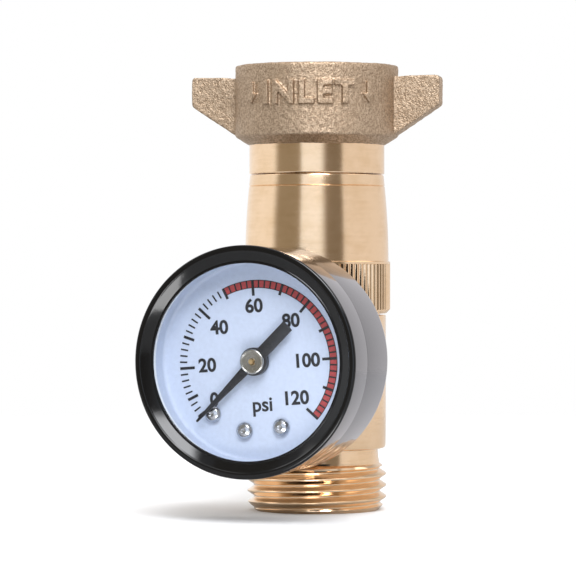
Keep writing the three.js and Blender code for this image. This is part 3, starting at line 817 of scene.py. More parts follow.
def raised(flat: Shape, low: float, high: float) -> Shape:
    """Raises a flat shape of triangles into closed solids.

    Args:
        flat: The flat shape.
        low: The lower height.
        high: The upper height.

    Returns:
        The solids.
    """
    points = np.concatenate(flat.points)
    count = len(points)
    edges: dict[tuple[int, int], int] = {}
    for face in flat.faces:
        for k, a in enumerate(face):
            edges[(a, face[(k + 1) % len(face)])] = 1
    rim = [(a, b) for a, b in edges if (b, a) not in edges]
    bottom = points * (1, 1, 0) + (0, 0, low)
    top = points * (1, 1, 0) + (0, 0, high)
    faces = [tuple(count + k for k in face) for face in flat.faces]
    faces += [tuple(reversed(face)) for face in flat.faces]
    faces += [(a, b, count + b, count + a) for a, b in rim]
    return Shape().put(np.concatenate([bottom, top]), faces)


# --- Brass body ---------------------------------------------------------------------------------
@dataclass
class OutletBody:
    """The lower body: hose thread, neck, plain barrel and the spigot inside the shell."""

    neck_z: float = 9.1
    barrel_z: float = 12.0
    barrel_top: float = 37.8
    neck_r: float = 11.8
    barrel_r: float = 13.4
    root_r: float = 12.2
    bore_r: float = 9.2
    cylinder_r: float = 10.6
    stop_z: float = 35.2
    spigot_r: float = 12.2
    thread_start: float = 0.35
    chamfer: float = 1.4
    runout: float = 0.9
    span: Span = field(default_factory=lambda: Span.of("lower_body"))

    def build(self) -> bpy.types.Object:
        """Makes the turned body.

        Returns:
            The piece that stands for lower_body.
        """
        crest = self.span.radius
        top = self.span.high.z
        start = self.thread_start

        def limit(height: np.ndarray) -> np.ndarray:
            """The thread starts on a chamfer and runs out at the neck."""
            rise, fall = (height - start) / self.chamfer, (self.neck_z - height) / self.runout
            return np.clip(np.minimum(rise, fall), 0, 1)

        profile = rounded([
            (self.root_r, self.neck_z, 0.0),
            (self.neck_r + 0.28, self.neck_z + 0.4, 0.3),
            (self.neck_r, self.barrel_z, 0.2),
            (self.barrel_r, self.barrel_z, 1.5),
            (self.barrel_r, self.barrel_top, 0.22),
            (self.spigot_r, self.barrel_top, 0.1),
            (self.spigot_r, top, 0.3),
            (self.cylinder_r, top, 0.3),
            (self.cylinder_r, self.stop_z, 0.1),
            (self.bore_r, self.stop_z, 0.2),
            (self.bore_r, 0.0, 0.5),
            (self.root_r - 0.3, 0.0, 0.1),
            (self.root_r, start, 0.0),
        ], closed=False)
        shape = Shape().thread(start, self.neck_z, self.root_r, crest, limit).turn(profile, closed=False)
        made = shape.piece("outlet_body", BODY_BRASS, "housing")
        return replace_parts(made, "lower_body")


@dataclass
class KnurledShell:
    """The upper body: a straight-knurled band, a gently curved shell and a fine groove near its top."""

    band_top: float = 48.1
    rib_depth: float = 0.34
    ribs: int = 90
    groove_z: float = 62.7
    groove_depth: float = 0.16
    top_r: float = 12.95
    foot_r: float = 13.9
    lip: float = 0.16
    socket_r: float = 10.3
    socket_depth: float = 8.4
    seat_r: float = 4.3
    chamber_top: float = 53.0
    chamber_r: float = 10.6
    spigot_r: float = 12.5
    spigot_top: float = 46.3
    span: Span = field(default_factory=lambda: Span.of("upper_body"))

    def shell_radius(self, z: float) -> float:
        """The shell's radius at a height above the band: a barrel curve that draws in to the top."""
        share = (z - self.band_top) / (self.span.high.z - self.band_top)
        return self.foot_r - (self.foot_r - self.top_r) * share**2

    def build(self) -> bpy.types.Object:
        """Makes the shell.

        Returns:
            The piece that stands for upper_body.
        """
        low, high = self.span.low.z, self.span.high.z
        band_r = self.span.radius
        curve = []
        for z in np.linspace(self.band_top + 0.28, self.groove_z - 0.3, 14):
            curve.append((self.shell_radius(z), z, 0.0))
        groove_r = self.shell_radius(self.groove_z)
        profile = rounded([
            (band_r - 0.8, low, 0.15),
            (band_r - 0.06, low + 0.78, 0.1),
            (band_r - 0.01, low + 0.8, 0.0),
            (band_r - 0.01, self.band_top - 0.5, 0.0),
            (band_r, self.band_top - 0.42, 0.0),
            (band_r, self.band_top, 0.12),
            (self.shell_radius(self.band_top + 0.1), self.band_top + 0.12, 0.05),
            *curve,
            (groove_r + 0.01, self.groove_z - 0.12, 0.0),
            (groove_r - self.groove_depth, self.groove_z, 0.05),
            (groove_r - 0.01, self.groove_z + 0.12, 0.0),
            (self.top_r, high + self.lip, 0.2),
            (self.socket_r, high + self.lip, 0.3),
            (self.socket_r, high - self.socket_depth, 0.0),
            (self.seat_r, high - self.socket_depth, 0.2),
            (self.seat_r, self.chamber_top, 0.2),
            (self.chamber_r, self.chamber_top, 0.2),
            (self.chamber_r, self.spigot_top, 0.1),
            (self.spigot_r, self.spigot_top, 0.1),
            (self.spigot_r, low, 0.2),
        ])

        def knurl(radius: np.ndarray, height: np.ndarray, angle: np.ndarray) -> np.ndarray:
            """Cuts vee grooves between the ribs, fading out at the band's two edges."""
            wave = np.abs((angle * self.ribs / TAU) % 1.0 - 0.5) * 2
            cut = self.rib_depth * np.clip((wave - 0.25) / 0.6, 0, 1)
            inside = (height > low + 0.05) & (height < self.band_top - 0.46) & (radius > 13.3)
            return np.where(inside, np.minimum(radius, band_r - cut), radius)

        shape = Shape().turn(profile, segments=self.ribs * 8, radius_at=knurl)
        made = shape.piece("knurled_shell", BODY_BRASS, "housing")
        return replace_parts(made, "upper_body")


# --- Swivel nut ---------------------------------------------------------------------------------
@dataclass
class SwivelNut:
    """The inlet nut: a casting with two wings, and its machined collar and female thread."""

    collar_r: float = 13.1
    collar_top: float = 70.7
    cone_z: float = 72.2
    nut_r: float = 15.8
    bore_r: float = 10.3
    root_r: float = 13.65
    crest_r: float = 12.25
    floor_z: float = 72.1
    wing_top: float = 84.0
    wing_tip: float = 24.5
    wing_tip_low: float = 78.3
    wing_thick: float = 5.0
    wing_root: float = 14.6
    wing_foot: float = 72.5
    wing_fall: float = 0.4
    turn: float = math.radians(7.3)
    mark: str = "INLET"
    mark_z: float = 80.3
    mark_height: float = 4.3
    mark_proud: float = 0.7
    mark_turn: float = 0.09
    arrow_turn: float = 0.77
    voxel: float = 0.16
    span: Span = field(default_factory=lambda: Span.of("swivel_nut"))

    def turned_points(self, points: np.ndarray) -> np.ndarray:
        """Turns points about Z by the nut's angle at rest."""
        return spun(points, self.turn)

    def wing(self) -> Shape:
        """One wing, standing out along +X."""
        half = self.wing_thick / 2
        outline = rounded([
            (self.wing_root, self.wing_foot, 0.0),
            (self.nut_r + 0.1, self.wing_foot + 0.2, 0.0),
            (self.wing_tip - 0.1, self.wing_tip_low, 0.9),
            (self.wing_tip - 0.1, self.wing_top, 0.9),
            (self.nut_r + 2.2, self.wing_top - 0.1, 0.0),
            (self.wing_root, self.wing_top - self.wing_fall, 0.0),
        ])
        shape = Shape().prism(outline, -half, half)

        def stand(p: np.ndarray) -> np.ndarray:
            """Stands the wing up, a little thinner towards its tip."""
            return np.stack([p[:, 0], -p[:, 2] * (1.1 - 0.006 * p[:, 0]), p[:, 1]], axis=-1)

        return shape.moved(stand)

    def wrapped(self, flat: Shape, centre: float) -> Shape:
        """Raises a flat mark and bends it round the nut.

        Args:
            flat: The mark in the XY plane.
            centre: The angle of its middle from the nut's front, in radians, to the right.

        Returns:
            The mark, sunk a little into the casting and standing proud of it.
        """
        inner, outer = self.nut_r - 0.7, self.nut_r + self.mark_proud
        block = raised(flat, inner, outer)

        def bend(p: np.ndarray) -> np.ndarray:
            """Bends the block round the nut's axis at the mark's height."""
            angle = p[:, 0] / self.nut_r + centre
            height = p[:, 1] + self.mark_z
            return np.stack([p[:, 2] * np.sin(angle), -p[:, 2] * np.cos(angle), height], axis=-1)

        return block.moved(bend)

    def arrow(self) -> Shape:
        """A flat arrow that points down, the way the water flows."""
        half = [(1.5, -0.2), (0.55, -0.2), (0.55, 2.1)]
        outline = [(0.0, -2.1), *half, *((-x, y) for x, y in reversed(half))]
        points = np.array([(x, y, 0.0) for x, y in outline])
        return Shape().put(points, [(0, 1, 2), (0, 2, 5), (0, 5, 6), (2, 3, 4), (2, 4, 5)])

    def casting(self) -> bpy.types.Object:
        """Fuses ring, cone, wings and raised mark, and softens them as sand casting does.

        Returns:
            The piece that stands for swivel_nut.
        """
        high = self.span.high.z
        ring = rounded([
            (12.9, self.collar_top - 0.2, 0.0),
            (self.collar_r + 0.1, self.collar_top, 0.0),
            (self.nut_r, self.cone_z + 0.1, 0.4),
            (self.nut_r, high, 0.5),
            (13.75, high, 0.2),
            (13.75, self.cone_z + 1.4, 0.0),
            (12.9, self.cone_z + 0.6, 0.0),
        ])
        shape = Shape().turn(ring, segments=192)
        for side in (0.0, math.pi):
            shape.add(self.wing().moved(lambda p, a=side: spun(p, a)))
        shape.add(self.wrapped(lettering(self.mark, self.mark_height, 0.045, 1.2), self.mark_turn))
        for side in (-1, 1):
            shape.add(self.wrapped(self.arrow(), self.mark_turn + side * self.arrow_turn))
        shape.moved(self.turned_points)
        made = shape.piece("nut_casting", NUT_BRASS, "nut")
        remesh = made.modifiers.new("fuse", "REMESH")
        remesh.mode = "VOXEL"
        remesh.voxel_size = self.voxel * MM
        soften = made.modifiers.new("soften", "SMOOTH")
        soften.factor = 0.5
        soften.iterations = 3
        apply_modifiers(made)
        self.roughen(made)
        dress(made, NUT_BRASS, "nut", 180.0)
        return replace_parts(made, "swivel_nut")

    def roughen(self, made: bpy.types.Object) -> None:
        """Moves the casting's points a few hundredths of a millimetre, as sand leaves them."""
        mesh = made.data
        limit = self.span.high.z * MM
        normals = [v.normal.copy() for v in mesh.vertices]
        for vertex, normal in zip(mesh.vertices, normals):
            p = vertex.co / MM
            swell = noise.noise(p * 0.3) * 0.07 + noise.noise(p * 1.45) * 0.06 - 0.02
            vertex.co += normal * (swell * MM)
            vertex.co.y = min(vertex.co.y, self.span.high.y * MM)
            vertex.co.z = min(vertex.co.z, limit)

    def machined(self) -> None:
        """Makes the collar under the casting and the thread inside it."""
        low, high = self.span.low.z, self.span.high.z
        collar = rounded([
            (self.bore_r, low - 0.08, 0.2),
            (self.collar_r, low - 0.08, 0.3),
            (self.collar_r, self.collar_top + 0.1, 0.05),
            (self.collar_r - 0.3, self.collar_top + 0.5, 0.0),
            (self.bore_r, self.collar_top + 0.5, 0.0),
        ])
        made = Shape().turn(collar).moved(self.turned_points).piece("nut_collar", BODY_BRASS, "nut")
        start, end = self.floor_z + 1.2, high - 0.6

        def limit(height: np.ndarray) -> np.ndarray:
            """The thread fades out at its undercut and at the nut's mouth."""
            return np.clip(np.minimum((height - start) / 0.8, (end - height) / 1.2), 0, 1)

        wall = rounded([
            (self.root_r, start, 0.0),
            (self.root_r, self.floor_z, 0.1),
            (self.bore_r, self.floor_z, 0.2),
            (self.bore_r, self.collar_top + 0.55, 0.0),
            (13.0, self.collar_top + 0.55, 0.0),
            (14.2, self.cone_z + 0.4, 0.0),
            (14.2, high - 0.05, 0.1),
            (self.root_r + 0.25, high - 0.05, 0.05),
            (self.root_r, end, 0.0),
        ], closed=False)
        bore = Shape().thread(start, end, self.root_r, self.crest_r, limit).turn(wall, closed=False)
        made = bore.moved(self.turned_points).piece("nut_thread", BODY_BRASS, "nut")

    def build(self) -> None:
        """Makes the whole nut."""
        self.casting()
        self.machined()


# --- Inlet --------------------------------------------------------------------------------------
@dataclass
class InletFittings:
    """What shows down the nut's mouth over the tailpiece: a washer and a strainer."""

    wire_r: float = 0.11
    wires: int = 15
    washer_bore: float = 7.62
    washer: Span = field(default_factory=lambda: Span.of("inlet_washer"))
    screen: Span = field(default_factory=lambda: Span.of("inlet_screen"))

    def rubber_washer(self) -> None:
        """A flat hose washer with rounded rims."""
        low, high = self.washer.low.z, self.washer.high.z
        profile = rounded([(self.washer_bore, low, 0.3), (self.washer.radius, low, 0.5),
                           (self.washer.radius, high, 0.5), (self.washer_bore, high, 0.4)])
        made = Shape().turn(profile).piece("hose_washer", RUBBER, "housing")
        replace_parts(made, "inlet_washer")

    def strainer(self) -> None:
        """A woven wire disc in a flat rim: wires pass over and under each other."""
        middle = self.screen.middle_z
        outer = self.screen.radius
        rim = rounded([(outer - 1.1, self.screen.low.z, 0.1), (outer, self.screen.low.z, 0.1),
                       (outer, self.screen.high.z, 0.1), (outer - 1.1, self.screen.high.z, 0.1)])
        shape = Shape().turn(rim, segments=96)
        pitch = 2 * (outer - 0.9) / self.wires
        wave = self.wire_r * 0.85
        for along in (0, 1):
            for k in range(self.wires):
                across = (k - (self.wires - 1) / 2) * pitch
                half = math.sqrt(max(0.1, (outer - 0.6) ** 2 - across ** 2))
                steps = max(6, int(2 * half / pitch * 6))
                t = np.linspace(-half, half, steps)
                side = 1 if (k + along) % 2 else -1
                lift = middle + side * wave * np.cos(t / pitch * math.pi)
                shape.put(*self.wire(t, across, lift, along))
        made = shape.piece("wire_strainer", STEEL, "housing", 60.0)
        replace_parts(made, "inlet_screen")

    def wire(self, t: np.ndarray, across: float, lift: np.ndarray, along: int) -> tuple[np.ndarray, list]:
        """One wire as a six-sided bar.

        Args:
            t: Places along the wire.
            across: Its offset from the middle.
            lift: Its height at each place.
            along: 0 for a wire along X and 1 for one along Y.

        Returns:
            Its points and faces.
        """
        sides = 6
        rings = []
        for s, z in zip(t, lift):
            for k in range(sides):
                a = TAU * k / sides
                u, v = across + self.wire_r * math.cos(a), z + self.wire_r * math.sin(a)
                rings.append((s, u, v) if along == 0 else (u, s, v))
        faces = []
        for r in range(len(t) - 1):
            for k in range(sides):
                k2 = (k + 1) % sides
                here, beside = r * sides, (r + 1) * sides
                faces.append((here + k, here + k2, beside + k2, beside + k))
        faces.append(tuple(range(sides)))
        last = (len(t) - 1) * sides
        faces.append(tuple(last + k for k in range(sides)))
        return np.array(rings), faces

    def build(self) -> None:
        """Makes the inlet's fittings."""
        self.rubber_washer()
        self.strainer()


@dataclass
class RangeSpring:
    """The round-wire spring over the piston, built at one fixed length."""

    wire_r: float = 0.9
    coil_r: float = 8.2
    turns: float = 4.0
    travel: float = 2.5
    sides: int = 18
    steps: int = 260
    span: Span = field(default_factory=lambda: Span.of("range_spring"))

    def build(self) -> bpy.types.Object:
        """Winds the wire at the spring's length at rest.

        Returns:
            The piece that stands for range_spring.
        """
        low, high = self.span.low.z + self.wire_r, self.span.high.z - self.wire_r
        t = np.linspace(0.0, 1.0, self.steps)
        turn = t * self.turns * TAU
        outward = np.stack([np.cos(turn), np.sin(turn), np.zeros_like(turn)], axis=-1)
        middle = outward * self.coil_r + np.stack([0 * t, 0 * t, low + (high - low) * t], axis=-1)
        around = np.arange(self.sides) * TAU / self.sides
        section = outward[:, None] * np.cos(around)[None, :, None] + np.sin(around)[None, :, None] * (0, 0, 1)
        grid = middle[:, None] + section * self.wire_r
        shape = Shape().sheet(grid, (False, True))
        ends = (0, (self.steps - 1) * self.sides)
        shape.faces.extend(tuple(first + k for k in range(self.sides)) for first in ends)
        made = shape.piece("coil_spring", STEEL, "housing")
        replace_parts(made, "range_spring")
        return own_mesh(made)


# --- Gauge --------------------------------------------------------------------------------------
@dataclass
class GaugeHousing:
    """Case, bezel and window. Depths run from the body's axis towards the front."""

    window_r: float = 18.05
    rim_r: float = 20.0
    inner_r: float = 19.2
    rim_z: float = 37.6
    neck_r: float = 4.6
    lip_drop: float = 1.1
    glass_front: float = 40.1
    glass_thick: float = 1.3
    case: Span = field(default_factory=lambda: Span.of("gauge_case"))
    bezel: Span = field(default_factory=lambda: Span.of("gauge_bezel"))
    lens: Span = field(default_factory=lambda: Span.of("gauge_lens"))
    gasket: Span = field(default_factory=lambda: Span.of("lens_gasket"))

    def pressed_case(self) -> None:
        """The case: a pressed cup with a rounded back edge and a stepped front rim."""
        back, seam = -self.case.high.y, -self.bezel.high.y - 0.3
        outer = self.case.radius
        profile = rounded([
            (self.neck_r + 0.3, back, 0.1),
            (outer * 0.55, back, 0.4),
            (outer * 0.6, back + 0.35, 0.4),
            (outer * 0.82, back + 0.35, 0.4),
            (outer * 0.86, back, 0.4),
            (outer, back, 1.8),
            (outer, seam, 0.35),
            (self.rim_r, seam, 0.05),
            (self.rim_r, self.rim_z, 0.1),
            (self.inner_r, self.rim_z, 0.1),
            (self.inner_r, back + 1.15, 0.9),
            (self.neck_r + 0.3, back + 1.15, 0.1),
        ], steps=7)
        shape = Shape().turn(profile, 200).bolt_face(self.bezel.middle_z)
        made = shape.piece("pressed_case", ENAMEL, "housing")
        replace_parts(made, "gauge_case")

    def front_bezel(self) -> None:
        """The bezel: a barely flared side, a rounded front edge, a sloping face and a thin inner lip."""
        seam, front = -self.bezel.high.y, -self.bezel.low.y
        outer = self.bezel.radius
        lip = front - self.lip_drop
        profile = rounded([
            (self.rim_r + 0.3, seam, 0.05),
            (outer - 0.32, seam, 0.08),
            (outer - 0.14, seam + 0.18, 0.1),
            (outer, front - 0.05, 1.1),
            (outer - 1.1, front - 0.05, 0.35),
            (outer - 1.3, front - 0.22, 0.1),
            (self.window_r + 0.5, lip, 0.12),
            (self.window_r + 0.36, lip + 0.14, 0.1),
            (self.window_r + 0.05, lip + 0.14, 0.12),
            (self.window_r, self.glass_front + 0.06, 0.05),
            (self.rim_r - 0.4, self.glass_front + 0.06, 0.0),
            (self.rim_r - 0.4, self.rim_z + 0.3, 0.0),
            (self.rim_r + 0.3, self.rim_z + 0.3, 0.0),
        ], steps=7)
        shape = Shape().turn(profile, 220).bolt_face(self.bezel.middle_z)
        made = shape.piece("front_bezel", ENAMEL, "housing")
        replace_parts(made, "gauge_bezel")

    def window(self) -> None:
        """The window and the white gasket under its edge."""
        low, high = self.glass_front - self.glass_thick, self.glass_front
        outer = self.lens.radius
        disc = [(0.0, low, 0.0), (outer, low, 0.15), (outer, high, 0.15), (0.0, high, 0.0)]
        profile = rounded(disc, closed=False)
        shape = Shape().turn(profile, 128, closed=False).bolt_face(self.bezel.middle_z)
        made = shape.piece("window", CLEAR, "housing")
        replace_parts(made, "gauge_lens")
        high = low - 0.02
        low = -self.gasket.high.y
        inner = self.window_r + 0.45
        profile = rounded([(inner, low, 0.2), (self.gasket.radius, low, 0.1), (self.gasket.radius, high, 0.1),
                           (inner, high, 0.25)])
        shape = Shape().turn(profile, 160).bolt_face(self.bezel.middle_z)
        made = shape.piece("window_gasket", WHITE_VINYL, "housing")
        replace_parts(made, "lens_gasket")

    def build(self) -> None:
        """Makes the housing's pieces."""
        self.pressed_case()
        self.front_bezel()
        self.window()


@dataclass(frozen=True)
class Figure:
    """One figure of the scale, with its place on the dial as a radius and an angle in degrees."""

    text: str
    radius: float
    angle: float


@dataclass
class Dial:
    """The dial's plate, its printed scale and its screws. The print sits a little low and askew on it."""

    full_scale: int = 120
    sweep: float = 270.0
    zero: float = 225.0
    first: int = 4
    askew: float = 4.2
    print_x: float = 0.22
    print_drop: float = 0.38
    track_r: float = 15.4
    minor_r: float = 13.95
    odd_major_r: float = 13.25
    major_r: float = 12.5
    band_r: float = 13.9
    minor_width: float = 0.3
    major_width: float = 0.52
    outline: float = 0.13
    red_from: int = 50
    figure_height: float = 2.5
    unit_height: float = 2.05
    unit_place: Point = (0.3, -8.05)
    ink_thick: float = 0.03
    wall: float = 4.2
    figures: tuple[Figure, ...] = (
        Figure("0", 10.9, 213.8),
        Figure("20", 10.0, 178.2),
        Figure("40", 10.1, 135.0),
        Figure("60", 10.7, 90.2),
        Figure("80", 10.2, 47.2),
        Figure("100", 9.75, 0.0),
        Figure("120", 9.8, -43.4),
    )
    plate: Span = field(default_factory=lambda: Span.of("dial_plate"))

    @property
    def face(self) -> float:
        """The depth of the dial's printed face."""
        return -self.plate.low.y

    def printed(self, shape: Shape, name: str, finish: Finish) -> None:
        """Turns, shifts and places a layer of the print.

        Args:
            shape: The layer, drawn square about the scale's centre.
            name: The piece's name.
            finish: Its ink.
        """
        turn = math.radians(self.askew)
        c, s = math.cos(turn), math.sin(turn)

        def set_askew(p: np.ndarray) -> np.ndarray:
            """Turns the layer and moves it to the print's centre."""
            x = p[:, 0] * c - p[:, 1] * s + self.print_x
            y = p[:, 0] * s + p[:, 1] * c - self.print_drop
            return np.stack([x, y, p[:, 2]], axis=-1)

        made = shape.moved(set_askew).bolt_face(self.plate.middle_z).piece(name, finish, "housing")

    def angle(self, value: float) -> float:
        """The angle of a reading on the scale, in degrees."""
        return self.zero - self.sweep * value / self.full_scale

    def bar(self, value: float, inner: float, outer: float, width: float) -> list[Point]:
        """The outline of one radial tick.

        Args:
            value: The reading it marks.
            inner: The radius of its inner end.
            outer: The radius of its outer end.
            width: Its width.

        Returns:
            Its four corners in order.
        """
        a = math.radians(self.angle(value))
        u = Vector((math.cos(a), math.sin(a)))
        v = Vector((-math.sin(a), math.cos(a))) * width / 2
        return [tuple(u * r + v * s) for r, s in ((inner, -1), (outer, -1), (outer, 1), (inner, 1))]

    def blank(self) -> None:
        """The plate itself, with a rounded edge."""
        back = -self.plate.high.y
        outer = self.plate.radius
        profile = rounded([
            (0.0, back, 0.0),
            (outer, back, 0.1),
            (outer, self.face + self.wall, 0.05),
            (outer - 0.2, self.face + self.wall, 0.05),
            (outer - 0.25, self.face, 0.9),
            (0.0, self.face, 0.0),
        ], steps=8, closed=False)
        shape = Shape().turn(profile, 128, closed=False).bolt_face(self.plate.middle_z)
        # Blue-grey paint on the plate: painted shade on a white dial.
        made = shape.piece("dial_blank", DIAL_SHADED_PAINT, "housing")
        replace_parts(made, "dial_plate")

    def ticks(self) -> None:
        """The black scale: fine ticks every 2, bold ones every 10, and longer ones at the figures."""
        shape = Shape()
        low, high = self.face + self.ink_thick, self.face + 2 * self.ink_thick
        for value in range(self.first, self.full_scale + 1, 2):
            inner = self.minor_r
            if value % 10 == 0:
                inner = self.odd_major_r
            if value % 20 == 0:
                inner = self.major_r
            width = self.major_width if value % 10 == 0 else self.minor_width
            shape.prism(self.bar(value, inner, self.track_r, width), low, high)
        for radius in (self.band_r, self.track_r - self.outline):
            self.ribbon(shape, radius, radius + self.outline, low, high)
        self.printed(shape, "scale_ticks", BLACK_INK)

    def ribbon(self, shape: Shape, inner: float, outer: float, low: float, high: float) -> None:
        """Adds an arc along the red part of the scale, as a row of short flat blocks.

        Args:
            shape: The shape it is added to.
            inner: Its inner radius.
            outer: Its outer radius.
            low: Its lowest depth.
            high: Its highest depth.
        """
        start, end = self.angle(self.red_from), self.angle(self.full_scale)
        steps = 90
        inside, outside = arc(inner, start, end, steps), arc(outer, start, end, steps)
        for k in range(steps):
            shape.prism([inside[k + 1], outside[k + 1], outside[k], inside[k]], low, high)

    def red_band(self) -> None:
        """The red band on the upper part of the scale."""
        shape = Shape()
        self.ribbon(shape, self.band_r, self.track_r, self.face + 0.01, self.face + self.ink_thick)
        self.printed(shape, "red_band", RED_INK)

    def numbers(self) -> None:
        """The figures and the unit."""
        shape = Shape()
        for mark in self.figures:
            figure = lettering(mark.text, self.figure_height, 0.032)
            a = math.radians(mark.angle)
            offset = (mark.radius * math.cos(a), mark.radius * math.sin(a), 0)
            shape.put(figure.points[0] + offset, figure.faces)
        unit = lettering("psi", self.unit_height * 1.3, 0.022)
        shape.put(unit.points[0] + (*self.unit_place, 0), unit.faces)
        self.printed(raised(shape, self.face + 0.01, self.face + self.ink_thick), "figures", BLACK_INK)

    def screws(self) -> None:
        """Three domed screws, each standing for its node."""
        for k in (1, 2, 3):
            span = Span.of(f"dial_screw_{k}")
            x = (span.low.x + span.high.x) / 2
            top, head = -span.low.y, 1.0
            profile = rounded([
                (0.0, -span.high.y, 0.0),
                (0.6, -span.high.y, 0.1),
                (0.6, top - head, 0.0),
                (1.6, top - head, 0.08),
                (1.6, top - head + 0.35, 0.3),
                (1.15, top - 0.22, 0.4),
                (0.42, top - 0.02, 0.2),
                (0.34, top - 0.22, 0.05),
                (0.0, top - 0.25, 0.0),
            ], closed=False)
            shape = Shape().turn(profile, 64, closed=False).bolt_face(span.middle_z)
            shape.moved(lambda p, dx=x: p + (dx, 0, 0))
            made = shape.piece(f"domed_screw_{k}", STEEL, "housing")
            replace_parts(made, f"dial_screw_{k}")

    def build(self) -> None:
        """Makes the dial."""
        self.blank()
        self.red_band()
        self.ticks()
        self.numbers()
        self.screws()


@dataclass
class Needle:
    """The pointer and the silver cap on its hub."""

    hub_r: float = 2.6
    length: float = 15.8
    boss_depth: float = 1.2
    cap_over: float = 0.3
    tail: float = 9.4
    tail_width: float = 2.3
    root_width: float = 1.7
    tip_width: float = 0.4
    rest: float = 225.0
    blade: Span = field(default_factory=lambda: Span.of("pointer"))
    cap: Span = field(default_factory=lambda: Span.of("pointer_cap"))
    dial: Span = field(default_factory=lambda: Span.of("dial_plate"))

    def pointer(self) -> None:
        """A pressed pointer: a tapered needle, a round hub and a straight tail."""
        low, high = -self.blade.high.y, -self.blade.low.y
        half_tail, half_root, half_tip = self.tail_width / 2, self.root_width / 2, self.tip_width / 2
        tail_a = math.degrees(math.asin(half_tail / self.hub_r))
        root_a = math.degrees(math.asin(half_root / self.hub_r))
        outline = [
            *arc(self.hub_r, 180 + root_a, 360 - tail_a, 24),
            (self.tail, -half_tail),
            (self.tail, half_tail),
            *arc(self.hub_r, tail_a, 180 - root_a, 24),
            (-self.length, half_tip),
            (-self.length, -half_tip),
        ]
        turn = math.radians(self.rest - 180)
        c, s = math.cos(turn), math.sin(turn)
        turned = [(x * c - y * s, x * s + y * c) for x, y in outline]
        bottom, side = low - self.boss_depth, self.hub_r - 0.05
        collar = [(0.8, bottom, 0.1), (side, bottom, 0.15), (side, low + 0.1, 0.0), (0.8, low + 0.1, 0.0)]
        shape = Shape().prism(turned, low, high).turn(rounded(collar), 48)
        made = shape.bolt_face(self.dial.middle_z).piece("dial_pointer", NEEDLE_PAINT, "needle")
        edge = made.modifiers.new("edge", "BEVEL")
        edge.width = 0.07 * MM
        edge.segments = 2
        apply_modifiers(made)
        dress(made, NEEDLE_PAINT, "needle")
        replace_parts(made, "pointer")

    def hub(self) -> None:
        """The cap: a polished boss with a centre hole, over the arbor's end."""
        low, high = -self.blade.low.y + 0.02, -self.cap.low.y
        outer = self.cap.radius + self.cap_over
        profile = rounded([
            (0.0, low, 0.0),
            (outer, low, 0.05),
            (outer, high - 0.12, 0.3),
            (outer - 0.3, high, 0.12),
            (outer - 0.42, high - 0.12, 0.08),
            (0.62, high - 0.12, 0.12),
            (0.34, high - 0.5, 0.1),
            (0.0, high - 0.62, 0.0),
        ], closed=False)
        shape = Shape().turn(profile, 96, closed=False).bolt_face(self.dial.middle_z)
        made = shape.piece("hub_cap", CAP_STEEL, "needle")
        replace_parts(made, "pointer_cap")

    def build(self) -> None:
        """Makes the pointer and its cap."""
        self.pointer()
        self.hub()


# --- Carried-over nodes -------------------------------------------------------------------------
CARRIED: dict[Finish, tuple[str, ...]] = {
    BODY_BRASS: ("inlet_tailpiece", "piston"),
    GAUGE_BRASS: ("gauge_socket",),
    MOVEMENT_BRASS: (
        "pinion_arbor", "tube_tip", "movement_back_plate", "movement_front_plate", "movement_pillar_1",
        "movement_pillar_2", "movement_pillar_3", "sector_gear", "link", "hairspring_stud",
    ),
    TUBE_BRONZE: ("bourdon_tube", "hairspring"),
    STEEL: ("seat_screw", "dial_bracket", "movement_screw_1", "movement_screw_2", "movement_screw_3"),
    RUBBER: ("tailpiece_seal", "piston_head_seal", "piston_stem_seal"),
    SEAT_RUBBER: ("seat_disc",),
}


def dress_carried_nodes() -> None:
    """Gives the frame's own nodes that stay in view their finishes."""
    for finish, names in CARRIED.items():
        for name in names:
            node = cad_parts[name]
            for slot in node.material_slots:
                slot.material = finish.material()
            LOG.info("%s: %s", name, finish.name)


# --- Studio -------------------------------------------------------------------------------------
@dataclass(frozen=True)
class Panel:
    """A soft patch of light or shade in the surroundings, by azimuth and elevation in degrees.

    It fades over the given degrees at its start and end, and over its rise at its low and high edges.
    """

    start: float
    end: float
    low: float
    high: float
    colour: Colour
    fade: Point = (8.0, 8.0)
    rise: float = 8.0


